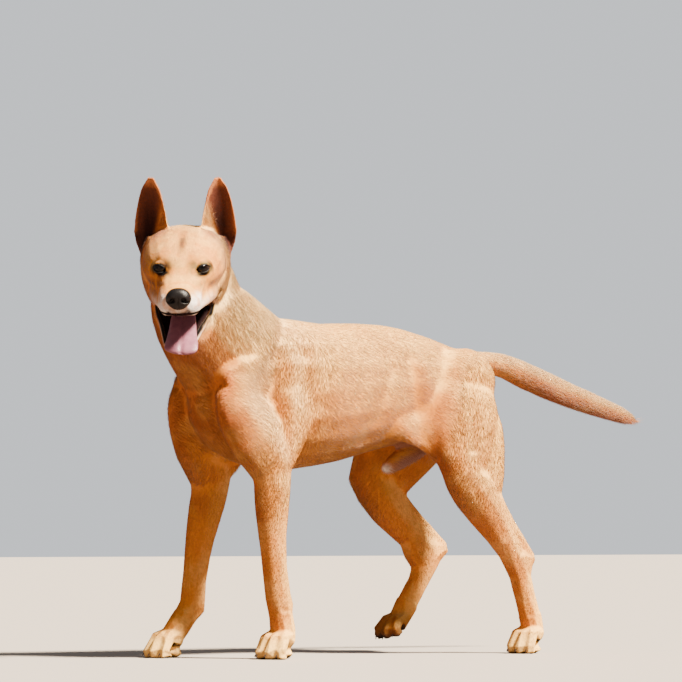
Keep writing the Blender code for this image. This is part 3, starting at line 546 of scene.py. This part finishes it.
# colour, strength, centre and size in the head's frame; on both sides, each over those before it
FACE_MARKS = (
    (TAN, 0.60, (0.000, 0.0300, 0.0130), (0.040, 0.0200, 0.0110)),  # above the eyes
    (TAN, 0.55, (-0.010, 0.0480, -0.0120), (0.040, 0.0160, 0.0200)),  # cheek
    (TAN, 0.60, (0.006, 0.0130, 0.0020), (0.035, 0.0060, 0.0120)),  # beside the bridge
    (TAN, 0.55, (-0.022, 0.0460, 0.0140), (0.035, 0.0100, 0.0100)),  # temple
    (BROWN, 0.95, (-0.024, 0.001, 0.031), (0.030, 0.0042, 0.0100)),  # forehead
    (ORANGE, 0.75, (-0.060, 0.036, 0.034), (0.016, 0.012, 0.012)),  # before the ear
    # the brow: partly a brown mark and partly painted shade under the brow ridge
    (BROWN, 0.95, (0.005, 0.0185, 0.0075), (0.035, 0.0095, 0.0085)),  # brow
    (BROWN, 0.60, (0.010, 0.0280, -0.0165), (0.040, 0.0120, 0.0060)),  # under the eye
    (BROWN, 0.70, (0.000, 0.0430, -0.0220), (0.040, 0.0080, 0.0050)),  # cheekbone
)
# the direction towards the key light; sides of the body that face it are painted paler, as painted light
KEY_LIGHT_SIDE = unit([0.41, -0.49, 0.77])  # up, and a little back and to the left
SHEATH_TIP = np.array([-0.020, trunk_back[1], 0.277])


def coat_colour(points, normals, shares):
    local, facing = in_face(points), normals @ FACE_AXES.T
    x, _, z = local.T
    nx, _, nz = normals.T
    above_floor = points[:, 2]
    head, neck, jaw = head_share(shares), share_of(shares, "neck"), share_of(shares, "lower_jaw")
    legs = sum(share_of(shares, part) for part in ("foreleg", "hindleg", "hock", "paw"))
    tail, ears, sole = share_of(shares, "tail"), share_of(shares, "ear"), ramp(nz, -0.45, -0.75)
    trunk = share_of(shares, "trunk") + share_of(shares, "shoulder") + share_of(shares, "thigh")
    colour = np.tile(TAN, (len(points), 1))

    def mix(over, share):
        colour[:] += (over - colour) * np.clip(share, 0, 1)[:, None]

    # the body: painted light where it faces up towards the key light, painted shade, more orange and brown,
    # where it turns away and under
    upper = normals @ KEY_LIGHT_SIDE
    mix(CREAM, 0.60 * ramp(upper, 0.25, 0.85) * (1 - head) * (1 - ears))
    mix(ORANGE, 0.36 * ramp(upper, 0.10, -0.50) * (1 - head) * (1 - ears))
    mix(BROWN, 0.16 * trunk * ramp(nz, -0.10, -0.55))
    # the neck: paler on the sides and the nape, partly its own pale coat and partly painted light
    mix(CREAM, 0.95 * neck * ramp(nx, -0.36, -0.05))
    mix(PALE, 0.40 * neck * ramp(nx, -0.20, 0.15))
    # painted light: the tops of the shoulders that face the key light are painted paler
    mix(PALE, 0.30 * trunk * ramp(points[:, 0], -0.13, -0.24) * ramp(upper, 0.40, 0.90))
    # painted light: the tail's top, which faces the light, is painted paler
    mix(PALE, 0.25 * tail * ramp(nz, 0.0, 0.7))
    # painted shade: the front of the chest, turned away from the light, is painted more orange
    mix(ORANGE, 0.35 * trunk * ramp(nx, -0.3, -0.9))
    # painted shade: the throat, which faces away from the light, is painted more orange
    mix(ORANGE, 0.70 * neck * ramp(nx, -0.38, -0.60))
    mix(CREAM, 0.15 * trunk * ramp(nz, -0.3, -0.8))
    # painted shade: the tail's underside is painted more orange
    mix(ORANGE, 0.55 * tail * ramp(nz, 0.1, -0.6))
    mix(ORANGE, 0.18 * legs * ramp(above_floor, 0.05, 0.12))
    # the raised far hind paw gets no pale toes, because it is painted dark below as painted shade
    paws, raised = share_of(shares, "paw"), share_of(shares, "paw_hind_right")
    toes = ramp(paws - raised, 0.3, 0.8)
    mix(CREAM, 0.90 * toes * ramp(above_floor, 0.042, 0.024))
    # the face: paler above and in front, white round the mouth, with brown marks
    mix(CREAM, 0.28 * head * ramp(facing[:, 2], -0.2, 0.6))
    mix(CREAM, 0.28 * head * ramp(facing[:, 0], 0.0, 0.8))
    shaded_cheek = ramp(-facing[:, 1], 0.15, 0.75) * ramp(z, 0.030, 0.005)
    mix(ORANGE, head * (0.40 * ramp(x, -0.01, -0.06) * ramp(z, 0.045, 0.0) + 0.55 * shaded_cheek))
    mix(WHITE, 0.85 * head * ramp(x, 0.028, 0.060) * ramp(z, -0.016, -0.028))
    mix(WHITE, 0.45 * head * ramp(x, -0.040, 0.020) * ramp(np.abs(z + 0.046), 0.016, 0.004))
    mix(WHITE, 0.60 * jaw * ramp(x, -0.045, 0.0))
    for over, strength, centre, size in FACE_MARKS:
        mix(over, strength * spot(local, centre, size))
    mix(BROWN, 0.55 * ramp(eye_distance(local, 22.0 * MM, 13.5 * MM), 1.15, 0.75))
    mix(BROWN, 0.90 * ramp(eye_distance(local, 18.5 * MM, 10.0 * MM), 1.15, 0.80))
    mix(BLACK, ramp(eye_distance(local, 16.0 * MM, 8.8 * MM), 1.08, 0.92))
    mix(BLACK, 0.8 * spot(local, (0.015, 0.0175, 0.0000), (0.030, 0.0050, 0.0030)))
    # soft patches, and the ears
    mix(ORANGE, 0.16 * ramp(dapple(points, 0.030), 0.0, 1.0) * (1 - ears))
    mix(CREAM, 0.18 * ramp(dapple(points, 0.022), 0.0, -1.0) * (1 - ears))
    mix(TAN, 0.50 * head * ramp(dapple(points, 0.009), 0.1, 1.0))
    mix(ORANGE, 0.60 * ears)
    across, up = in_ear(local)
    cup = cup_share(local, facing, ears)
    mix(EAR_RED, cup)
    # painted shade: the deepest part of the ear's hollow is painted near black
    hollow = np.exp(-((across - 0.10) / 0.60) ** 4 - ((up - 0.28) / 0.50) ** 2)
    mix(EAR_HOLLOW_SHADE, 1.15 * cup * hollow)
    mix(CREAM, 0.95 * cup * ramp(across, -0.30, -0.60) * ramp(up, 0.45, 0.20))
    mix(EAR_RIM, 0.85 * cup * ramp(np.maximum(np.abs(across), up * 0.95), 0.84, 0.96))
    # painted shade: a dark streak in the notch at the ear's outer edge near its root
    mix(EAR_HOLLOW_SHADE, 0.9 * ears * np.exp(-((across - 0.90) / 0.22) ** 2 - ((up - 0.27) / 0.045) ** 2))
    # groin, soles and mouth
    mix(GROIN, groin_share(points, normals, shares))
    mix(WHITE, 0.90 * ramp(np.linalg.norm(points - SHEATH_TIP, axis=1), 0.020, 0.009))
    # painted shade: the raised far hind paw, hanging in the belly's shade, is painted brown
    mix(BROWN, 0.60 * raised * ramp(above_floor, 0.080, 0.045))
    mix(PAD, 0.8 * raised * ramp(above_floor, 0.042, 0.022))
    mix(PAD, sole * paws)
    lining, lips, pink_lip = mouth_fields(local, facing)
    mix(LIP_PINK, 0.85 * pink_lip)
    mix(BLACK, lips)
    mix(LINING, lining)
    return colour


def groin_share(points, normals, shares):
    """1 on the bare skin between the thighs."""
    x = (points[:, 0] - trunk_front[0]) / (trunk_back[0] - trunk_front[0])
    y = np.abs(points[:, 1] - trunk_back[1])
    share = ramp(x, 0.62, 0.70) * ramp(x, 0.98, 0.90) * ramp(y, 0.052, 0.030)
    share *= ramp(points[:, 2], 0.335, 0.310)
    return share * ramp(normals[:, 2], 0.5, -0.1) * share_of(shares, "t")


def bare_share(points, normals, shares):
    """1 where no hair grows: lips, mouth, lids, pads, and the nose's surround."""
    local = in_face(points)
    lining, lips, pink_lip = mouth_fields(local, normals @ FACE_AXES.T)
    bare = np.maximum(np.maximum(lining, lips), 0.6 * pink_lip)
    bare = np.maximum(bare, ramp(eye_distance(local, 13.4 * MM, 7.8 * MM), 1.08, 0.95))
    bare = np.maximum(bare, share_of(shares, "paw") * ramp(normals[:, 2], -0.45, -0.75))
    return np.maximum(bare, 0.6 * groin_share(points, normals, shares))


def set_attribute(obj, name, values):
    """A colour or a number at each point of a mesh."""
    kind = "FLOAT_COLOR" if values.ndim == 2 else "FLOAT"
    layer = obj.data.attributes.new(name, kind, "POINT")
    if values.ndim == 2:
        values = np.concatenate([values, np.ones((len(values), 1))], 1)
    layer.data.foreach_set("color" if kind == "FLOAT_COLOR" else "value", values.astype(np.float32).ravel())


colour = coat_colour(points, normals, shares)
bare = bare_share(points, normals, shares)
set_attribute(skin, "marking", colour)
set_attribute(skin, "bare", bare)
print("mean colour of the coat:", np.round(colour.mean(0), 3))

# %% [markdown]
# ## Materials
# Hair scatters light softly, so the coat has a high roughness and a little sheen, and its colour changes
# from strand to strand. One small function adds a node with its settings and its links. Wet and bare parts
# share the idea of a dark or pink base under a smoother film, which gives the eye and the nose their small
# bright highlights.

# %% Node helper
def add_node(tree, kind, inputs=None, **settings):
    """A shader node of a kind; an input is a value, or the socket that feeds it."""
    made = tree.nodes.new("ShaderNode" + kind)
    for key, value in settings.items():
        setattr(made, key, value)
    for key, value in (inputs or {}).items():
        if isinstance(value, bpy.types.NodeSocket):
            tree.links.new(value, made.inputs[key])
        else:
            made.inputs[key].default_value = value
    return made


def new_material(name):
    """An empty node tree with an output, and the Object coordinates that patterns are laid on."""
    material = bpy.data.materials.new(name)
    material.use_nodes = True
    tree = material.node_tree
    tree.nodes.clear()
    place = add_node(tree, "TexCoord").outputs["Object"]
    return material, tree, place


def noise(tree, place, scale, detail):
    inputs = {"Vector": place, "Scale": scale, "Detail": detail}
    return add_node(tree, "TexNoise", inputs).outputs["Fac"]


def remap(tree, value, low, high, start=0.0, end=1.0):
    """A value between start and end, stretched to lie between low and high."""
    inputs = {"Value": value, "From Min": start, "From Max": end, "To Min": low, "To Max": high}
    return add_node(tree, "MapRange", inputs).outputs[0]


def blend(tree, share, first, second):
    """From the first colour to the second, by a share."""
    inputs = {"Factor": share, 6: (*linear(first), 1), 7: (*linear(second), 1)}
    return add_node(tree, "Mix", inputs, data_type="RGBA").outputs[2]


def finish_material(tree, specular=0.5, **inputs):
    """A Principled shader with these inputs, wired to the output."""
    inputs = {key.replace("_", " ").title(): value for key, value in inputs.items()}
    shader = add_node(tree, "BsdfPrincipled", {**inputs, "Specular IOR Level": specular})
    add_node(tree, "OutputMaterial", {"Surface": shader.outputs[0]})


# %% Short dog hair over skin
def read_markings(tree, place):
    """The colour of the coat, and a slow change of its brightness, some 5 cm from patch to patch."""
    marking = add_node(tree, "Attribute", attribute_name="marking").outputs["Color"]
    return marking, remap(tree, noise(tree, place, 22.0, 2.0), 0.92, 1.06, 0.3, 0.7)


def underfur():
    """Dense short hair seen between the tufts: clumps about 4 mm apart, and bare skin where none grows."""
    material, tree, place = new_material("short_underfur")
    marking, tone = read_markings(tree, place)
    bare = add_node(tree, "Attribute", attribute_name="bare").outputs["Fac"]
    clumps = noise(tree, place, 260.0, 3.0)
    value = tone
    # the clumps vary the underfur's brightness; lifting it by up to 1.3 times is painted light that offsets
    # the shade between the tufts
    for factor in (remap(tree, clumps, 1.0, 1.3, 0.3, 0.7), remap(tree, bare, 1.0, 0.50)):
        value = add_node(tree, "Math", {0: value, 1: factor}, operation="MULTIPLY").outputs[0]
    hue = add_node(tree, "HueSaturation", {"Color": marking, "Value": value}).outputs[0]
    rough = remap(tree, bare, 0.85, 0.70)
    bumps = add_node(tree, "Bump", {"Height": clumps, "Strength": 0.45, "Distance": 1.2 * MM})
    finish_material(tree, specular=0.05, base_color=hue, roughness=rough, normal=bumps.outputs[0])
    return material


def guard_hair():
    """The tufts: straight guard hairs with a faint sheen, in the colour of the skin at their roots."""
    material, tree, place = new_material("guard_hair")
    marking, tone = read_markings(tree, place)
    hue = add_node(tree, "HueSaturation", {"Color": marking, "Value": tone}).outputs[0]
    finish_material(tree, specular=0.2, base_color=hue, roughness=0.62, sheen_weight=0.1, sheen_roughness=0.5)
    return material


UNDERFUR, GUARD_HAIR = underfur(), guard_hair()
skin.data.materials.append(UNDERFUR)
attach(skin, "root")
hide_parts(*FLESH)
print("materials:", UNDERFUR.name, GUARD_HAIR.name)

# %% [markdown]
# ## Tufts
# A tuft is a lock of short hair, made as a thin closed spike of four triangles: wide and low at its root,
# and a point at its tip. It rises at a slight slant along the lie of the coat, so that each tuft covers the
# roots of the next. Some 350,000 of them are computed at once as arrays. Their roots are scattered over the
# skin's triangles by area and by how dense the coat is there, with a seeded generator, so that each run
# gives the same coat.

# %% An unwrap of the skin
edit_mesh(skin, bpy.ops.uv.smart_project, angle_limit=math.radians(66), island_margin=0.002)
skin_uv = read(skin.data.uv_layers.active.data, "uv", 2).reshape(-1, 3, 2)
triangles = read(skin.data.loops, "vertex_index", 1, np.int32).reshape(-1, 3)
print("unwrapped", len(triangles), "triangles")

# %% Fields of the coat
random = np.random.default_rng(11)
flow = shares @ unit(np.array([bone[1] - bone[0] for bone in BONES.values()]))
on_neck, on_side = share_of(shares, "neck"), np.abs(normals[:, 1])
flow[:, 2] -= 0.45 * (share_of(shares, "trunk") + on_neck) * ramp(on_side, 0.2, 0.9)
flow = unit(flow - normals * (flow * normals).sum(1, keepdims=True))
hair = bone_field(shares, HAIR) * MM
hair *= 1 - 0.45 * ramp(eye_distance(local, 24 * MM, 20 * MM), 1.3, 0.7)
hair *= 1 + 0.5 * share_of(shares, "tail") * ramp(normals[:, 2], 0.0, -0.8)
hair *= 1 + 0.35 * on_neck * ramp(on_side, 0.4, 0.9)
width = bone_field(shares, TUFT_WIDTH) * MM
loose = 9 * on_neck * ramp(normals[:, 0], -0.3, 0.5) + 4 * share_of(shares, "tail")
rise = np.radians(6.5 + loose)  # slant of a tuft at its root
density = bone_field(shares, TUFT_DENSITY) * (1 - bare) / MM ** 2
cup = cup_share(local, local_normals, share_of(shares, "ear"))
across_ear, up_ear = in_ear(local)
density *= 1 - 0.5 * cup
hair *= 1 + 1.6 * cup * ramp(across_ear, -0.3, -0.8) * ramp(up_ear, 0.75, 0.2)


# %% Scatter the roots
corners = points[triangles]
sides = corners[:, 1:] - corners[:, :1]
area = np.linalg.norm(np.cross(sides[:, 0], sides[:, 1]), axis=1) / 2
wanted = area * density[triangles].mean(1) * 1.0
count = np.floor(wanted + random.random(len(wanted))).astype(int)
chosen = np.repeat(np.arange(len(triangles)), count)
a, b = random.random((2, len(chosen)))
over = a + b > 1
a[over], b[over] = 1 - a[over], 1 - b[over]
weights = np.stack([1 - a - b, a, b], 1)


def at_roots(values):
    """A field of the skin's points, read at the roots."""
    return np.einsum("nk,nk...->n...", weights, values[triangles[chosen]])


roots = {
    "place": at_roots(points), "normal": unit(at_roots(normals)), "flow": at_roots(flow),
    "hair": at_roots(hair), "width": at_roots(width), "rise": at_roots(rise), "colour": at_roots(colour),
    "uv": np.einsum("nk,nkj->nj", weights, skin_uv[chosen]),
    "region": np.argmax(at_roots(shares), axis=1),
}
print("area of the skin:", round(float(area.sum()), 3), "square metres; tufts:", len(chosen))

# %% Build the tufts
PATCH = 0.003  # how wide a tuft's patch is on the unwrap
LAY = math.radians(4)  # slant of a tuft at its tip
SWAY, UNEVEN = 0.10, math.radians(3)  # how far neighbours differ in direction and in slant
RIDGE = 0.40  # height of a tuft's ridge, as a share of its half-width
ROOT_DEPTH = 0.25 * MM
TINT = 0.06  # how far neighbours differ in brightness


def tuft_points(part):
    """Each tuft's corners: left and right of its root, the low ridge between them, and its tip."""
    n, size = part["normal"], len(part["hair"])
    t = unit(part["flow"] - n * (part["flow"] * n).sum(1, keepdims=True))
    t = unit(t + np.cross(n, t) * random.normal(0, SWAY, (size, 1)))
    across = np.cross(n, t)
    long = part["hair"][:, None] * random.uniform(0.75, 1.25, (size, 1))
    rise = part["rise"][:, None] + random.normal(0, UNEVEN, (size, 1))
    half = part["width"][:, None] * random.uniform(0.7, 1.2, (size, 1)) / 2
    root = part["place"] - n * ROOT_DEPTH
    waist = root + 0.5 * long * (t * np.cos(rise) + n * np.sin(rise))
    tip = waist + 0.5 * long * (t * math.cos(LAY) + n * math.sin(LAY))
    return np.stack([root - across * half, root + across * half, root + n * half * RIDGE, tip], 1)


TUFT_FACES = np.array([(0, 2, 1), (0, 1, 3), (1, 2, 3), (2, 0, 3)])


def make_coat(name, chosen):
    """One object with all the tufts of a region."""
    part = {key: value[chosen] for key, value in roots.items()}
    corners = tuft_points(part)
    size = len(corners)
    faces = (TUFT_FACES[None] + np.arange(size)[:, None, None] * 4).reshape(-1, 3)
    mesh = bpy.data.meshes.new(name)
    mesh.vertices.add(size * 4)
    mesh.vertices.foreach_set("co", corners.astype(np.float32).ravel())
    mesh.loops.add(len(faces) * 3)
    mesh.loops.foreach_set("vertex_index", faces.astype(np.int32).ravel())
    mesh.polygons.add(len(faces))
    mesh.polygons.foreach_set("loop_start", np.arange(0, len(faces) * 3, 3, dtype=np.int32))
    mesh.update(calc_edges=True)
    mesh.shade_smooth()
    coat = bpy.data.objects.new(name, mesh)
    bpy.context.collection.objects.link(coat)
    height, spread = np.array([0.0, 0.0, 0.4, 1.0]), np.array([-0.5, 0.5, 0.0, 0.0])
    tint = random.normal(1.0, TINT, (size, 1, 1)) * (0.92 + 0.11 * height)[None, :, None]  # paler tips
    set_attribute(coat, "marking", (part["colour"][:, None, :] * tint).reshape(-1, 3).clip(0, 1))
    uv = part["uv"][:, None, :] + PATCH * np.stack([spread, height - 0.5], 1)[None]
    uv = uv.reshape(-1, 2)[faces.ravel()]
    mesh.uv_layers.new(name="OFBake").data.foreach_set("uv", uv.astype(np.float32).ravel())
    mesh.materials.append(GUARD_HAIR)
    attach(coat, "root")
    print(name, "tufts:", size, "triangles:", len(faces))


REGIONS = {
    "head": ["skull"], "face": ["muzzle", "lower_jaw"], "ears": both("ear"), "neck": ["neck"],
    "trunk": ["trunk"], "shoulders": both("shoulder"), "thighs": both("thigh"), "tail": ["tail"],
    "forelegs": both("foreleg"), "hindlegs": both("hindleg"), "hocks": both("hock"), "paws": PAWS,
}
LIMIT = 199000  # triangles in one piece
for region, bones in REGIONS.items():
    name = "coat_" + region
    picked = np.flatnonzero(np.isin(roots["region"], [NAMES.index(bone) for bone in bones]))
    parts = math.ceil(len(picked) * len(TUFT_FACES) / LIMIT)
    for number, share in enumerate(np.array_split(picked, max(parts, 1))):
        make_coat(name if parts < 2 else f"{name}_{number + 1}", share)

# %% [markdown]
# ## Eyes
# A dog's eyeball is nearly a sphere of 21 mm with a slightly raised cornea. It starts as a UV sphere whose
# pole points along the gaze, so that the rings of the pupil, the dark iris and the white lie on its rings.
# The lid's bare rim is a torus drawn out to the shape of the slit.

# %% Eyeballs
GAZE = unit([0.93, 0.0, 0.36])  # towards the viewer, in the head's frame


def place_in_face(obj, local):
    """Moves a mesh's points, given in the head's frame, to the dog's head."""
    move_vertices(obj, from_face(local))
    edit_mesh(obj, bpy.ops.mesh.normals_make_consistent, inside=False)
    obj.data.shade_smooth()


def eyeball_material():
    """A wet eyeball: black pupil, dark brown iris and brownish white, under a clear film."""
    material, tree, _ = new_material("wet_eyeball")
    ring = add_node(tree, "Attribute", attribute_name="from_pupil").outputs["Fac"]
    ramp_node = add_node(tree, "ValToRGB", {"Fac": ring})
    stops = ((0.0, "#050405"), (0.22, "#070505"), (0.27, "#120A07"), (0.42, "#1A0E09"),
             (0.47, "#0B0706"), (0.62, "#2A1F1B"))
    elements = ramp_node.color_ramp.elements
    for at, _ in stops[1:-1]:
        elements.new(at)
    elements[len(stops) - 1].position = stops[-1][0]
    for element, (at, code) in zip(elements, stops):
        element.position = at
        element.color = (*linear(code), 1)
    finish_material(tree, specular=0.3, base_color=ramp_node.outputs["Color"], roughness=0.06)
    return material


EYEBALL = eyeball_material()
for side, word in ((1, "left"), (-1, "right")):
    bpy.ops.mesh.primitive_uv_sphere_add(segments=64, ring_count=48, radius=EYE_RADIUS)
    eyeball = bpy.context.object
    eyeball.name = "eyeball_" + word
    ball = vertices(eyeball)
    gaze = unit(GAZE + (0, side * 0.10, 0))
    turn = np.array(Vector((0, 0, 1)).rotation_difference(Vector(gaze)).to_matrix())
    angle = np.arccos(np.clip(ball[:, 2] / EYE_RADIUS, -1, 1))
    ball *= (1 + 0.07 * ramp(angle, 0.75, 0.30))[:, None]
    place_in_face(eyeball, ball @ turn.T + EYE * (1, side, 1))
    set_attribute(eyeball, "from_pupil", angle / (math.pi / 2))
    eyeball.data.materials.append(EYEBALL)
    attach(eyeball, "root")
    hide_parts("eye_" + word)
print("eyeballs of", round(2 * EYE_RADIUS / MM), "mm")


# %% Rims of the lids
def bare_skin(name, code, dark, roughness, grain):
    """Bare moist skin: a grain of small bumps, with darker hollows."""
    material, tree, place = new_material(name)
    cells = add_node(tree, "TexVoronoi", {"Vector": place, "Scale": 1 / grain}).outputs["Distance"]
    colour = blend(tree, noise(tree, place, 120.0, 3.0), dark, code)
    inputs = {"Height": cells, "Strength": 0.35, "Distance": 0.6 * MM}
    bumps = add_node(tree, "Bump", inputs, invert=True)
    finish_material(tree, specular=0.35, base_color=colour, roughness=roughness, normal=bumps.outputs[0])
    return material


RIM_SKIN = bare_skin("moist_lid_skin", "#120D0C", "#080606", 0.52, 1.2 * MM)
RIM_TUBE = 0.1  # thickness of the torus before it is drawn out
RIM_HALF_THICKNESS = 1.25 * MM
RIM_LENGTH = 1.03  # as a share of the slit's
for side, word in ((1, "left"), (-1, "right")):
    bpy.ops.mesh.primitive_torus_add(major_segments=72, minor_segments=10, major_radius=1.0,
                                     minor_radius=RIM_TUBE)
    rim = bpy.context.object
    rim.name = "lid_rim_" + word
    ring = vertices(rim)
    turn = np.arctan2(ring[:, 1], ring[:, 0])
    across, lift = (np.hypot(ring[:, 0], ring[:, 1]) - 1) / RIM_TUBE, ring[:, 2] / RIM_TUBE
    u = SLIT_HALF_LENGTH * RIM_LENGTH * np.cos(turn)
    v = np.sign(np.sin(turn)) * slit_height(u / RIM_LENGTH, np.sin(turn) > 0)
    out = unit(np.stack([np.cos(turn) / SLIT_HALF_LENGTH, np.sin(turn) / SLIT_RISE], 1))
    u, v = np.stack([u, v]) + out.T * across * RIM_HALF_THICKNESS
    w = np.sqrt(np.clip((EYE_RADIUS + 0.5 * MM) ** 2 - u ** 2 - v ** 2, (1.5 * MM) ** 2, None))
    w += lift * RIM_HALF_THICKNESS
    place_in_face(rim, np.stack([u, v, w], 1) @ eye_axes(side) + EYE * (1, side, 1))
    rim.data.materials.append(RIM_SKIN)
    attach(rim, "root")
print("lid rims made")

# %% [markdown]
# ## Nose
# The nose is bare leather with two comma-shaped nostrils and a groove between them. A sphere is drawn out
# to the size of the solid's nose, flattened in front, and the nostrils are pressed into it.

# %% Nose leather
NOSE_CENTRE = np.array([0.0755, 0.0, -0.0250])
NOSE_HALF = np.array([0.0135, 0.0184, 0.0160])
bpy.ops.mesh.primitive_uv_sphere_add(segments=96, ring_count=64, radius=1.0)
nose = bpy.context.object
nose.name = "nose_leather"
ball = vertices(nose)[:, [2, 0, 1]]
x, y, z = ball.T
front = np.sign(x) * np.abs(x) ** 0.8
taper = 1 - 0.16 * ramp(-z, 0.0, 1.0)
leather = np.stack([front, np.sign(y) * np.abs(y) ** 0.9 * taper, z], 1) * NOSE_HALF
leather[:, 0] += 0.0012 * z
NOSTRIL = ((0.0078, 0.0008), (0.0032, 0.0030), 5.5)  # middle and half-size, across and up, and depth in mm
NOSTRIL_TAIL = ((0.0122, -0.0022), (0.0036, 0.0016), 3.2)
WING = ((0.0098, 0.0052), (0.0050, 0.0040), 0.9)
in_front = ramp(x, 0.0, 0.4)


def away_from(side, centre, size):
    """Squared distance on the nose's front from a place on one side, as a share of a size."""
    return ((leather[:, 1] - side * centre[0]) / size[0]) ** 2 + ((leather[:, 2] - centre[1]) / size[1]) ** 2


for side in (1, -1):
    for centre, size, deep in (NOSTRIL, NOSTRIL_TAIL):
        leather[:, 0] -= deep * MM * np.exp(-away_from(side, centre, size) ** 1.5) * in_front
    leather[:, 0] += WING[2] * MM * np.exp(-away_from(side, *WING[:2])) * in_front
leather[:, 0] -= 1.3 * MM * np.exp(-(leather[:, 1] / 0.0009) ** 2) * ramp(z, 0.45, -0.2) * in_front  # groove
place_in_face(nose, leather + NOSE_CENTRE)
nose.data.materials.append(bare_skin("nose_leather", "#151214", "#0A0809", 0.40, 1.1 * MM))
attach(nose, "root")
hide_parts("nose")
print("nose:", np.round(2 * NOSE_HALF / MM, 1), "mm")

# %% [markdown]
# ## Tongue
# The solid already has the tongue's course. A copy of it, subdivided three times, gives a round edge, and a
# soft groove is pressed along its middle. Its wet surface is finely grained.

# %% Tongue
tongue = copy_node("tongue")
tongue.name = "wet_tongue"
apply_modifier(tongue, "SUBSURF", levels=3, render_levels=3)
points_in_face = in_face(vertices(tongue))
facing = vertex_normals(tongue) @ FACE_AXES.T
groove = np.exp(-(points_in_face[:, 1] / 0.0032) ** 2) * ramp(facing[:, 2] + facing[:, 0], 0.2, 0.9)
points_in_face -= facing * (1.5 * MM * groove)[:, None]
place_in_face(tongue, points_in_face)
tongue.data.materials.append(bare_skin("wet_tongue", "#A9707E", "#7E4C60", 0.30, 1.0 * MM))
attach(tongue, "root")
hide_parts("tongue")
print("tongue triangles:", 2 * len(tongue.data.polygons))

# %% [markdown]
# ## Claws
# The solids' claws have the right size and curve, and only need a round surface. Each is a copy, subdivided
# twice.

# %% Claws
CLAW_HORN = bare_skin("dark_claw_horn", "#3A2F29", "#1C1613", 0.40, 2.0 * MM)
for leg in LEGS:
    for toe in ("outer", "mid_outer", "mid_inner", "inner"):
        claw = copy_node(f"claw_{leg}_{toe}")
        claw.name = f"horn_{leg}_{toe}"
        apply_modifier(claw, "SUBSURF", levels=2, render_levels=2)
        claw.data.shade_smooth()
        claw.data.materials.append(CLAW_HORN)
        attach(claw, "root")
        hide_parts(f"claw_{leg}_{toe}")
print("claws: 16")

# %% [markdown]
# ## Floor, light and camera
# The floor is a plain pale plane that isn't part of the dog. A strong warm light high on the viewer's right
# plays the sun, a weak panel on the left keeps the shaded side readable, and a dim pale sky fills the rest.
# The camera stands 5 m away at the height of the dog's wrists, with a long lens.

# %% Floor
bpy.ops.mesh.primitive_plane_add(size=40.0, location=(0, 0, 0))
floor = bpy.context.object
floor.name = "floor"
material, tree, _ = new_material("pale_studio_floor")
seen = add_node(tree, "LightPath").outputs["Is Camera Ray"]
paint = blend(tree, seen, "#6A5A52", "#B9AFA5")  # seen pale, but it throws back only a weak warm light
finish_material(tree, base_color=paint, roughness=0.75)
floor.data.materials.append(material)

# %% Camera
AZIMUTH = math.radians(-33.0)
DISTANCE, EYE_LEVEL = 5.0, 0.18
WIDTH_SEEN = 1.023  # at the dog
LOOK_AT = Vector((-0.08866, 0.02579, 0.471))
ahead = Vector((-math.sin(AZIMUTH), math.cos(AZIMUTH), 0.0))
rightwards = Vector((math.cos(AZIMUTH), math.sin(AZIMUTH), 0.0))
stand = LOOK_AT - ahead * DISTANCE
stand.z = EYE_LEVEL
bpy.ops.object.camera_add(location=stand, rotation=(LOOK_AT - stand).to_track_quat("-Z", "Y").to_euler())
camera = bpy.context.object
camera.name = "camera"
camera.data.angle = 2 * math.atan(WIDTH_SEEN / 2 / DISTANCE)
camera.data.clip_end = 100.0
bpy.context.scene.camera = camera
print("camera at", [round(c, 3) for c in stand], "lens", round(camera.data.lens, 1), "mm")


# %% Lights
def direction_from(right, height, near):
    """The rotation of a lamp that shines from this far right of, above and in front of the dog."""
    return (-(rightwards * right - ahead * near + Vector((0, 0, height)))).to_track_quat("-Z", "Y").to_euler()


bpy.ops.object.light_add(type="SUN", location=(0, 0, 3), rotation=direction_from(2.4, 3.4, 1.3))
key = bpy.context.object
key.name = "key"
key.data.energy, key.data.angle, key.data.color = 23.0, math.radians(9), linear("#FFF0DA")
fill_place = LOOK_AT - rightwards * 2.4 - ahead * 3.4 + Vector((0, 0, 0.9))
bpy.ops.object.light_add(type="AREA", location=fill_place, rotation=direction_from(-2.4, 0.9, 3.4))
fill = bpy.context.object
fill.name = "fill"
fill.data.shape, fill.data.size = "SQUARE", 2.4
fill.data.energy, fill.data.color = 12.0, linear("#FFC9A0")
world = bpy.data.worlds.new("pale_sky")
bpy.context.scene.world = world
world.use_nodes = True
world.node_tree.nodes.clear()
tree = world.node_tree
seen = add_node(tree, "LightPath").outputs["Is Camera Ray"]
strength = remap(tree, seen, 0.23, 1.0)  # seen bright, but it lights the dog only weakly
sky = add_node(tree, "Background", {"Color": (*linear("#E9EDF2"), 1), "Strength": strength})
add_node(tree, "OutputWorld", {"Surface": sky.outputs[0]})
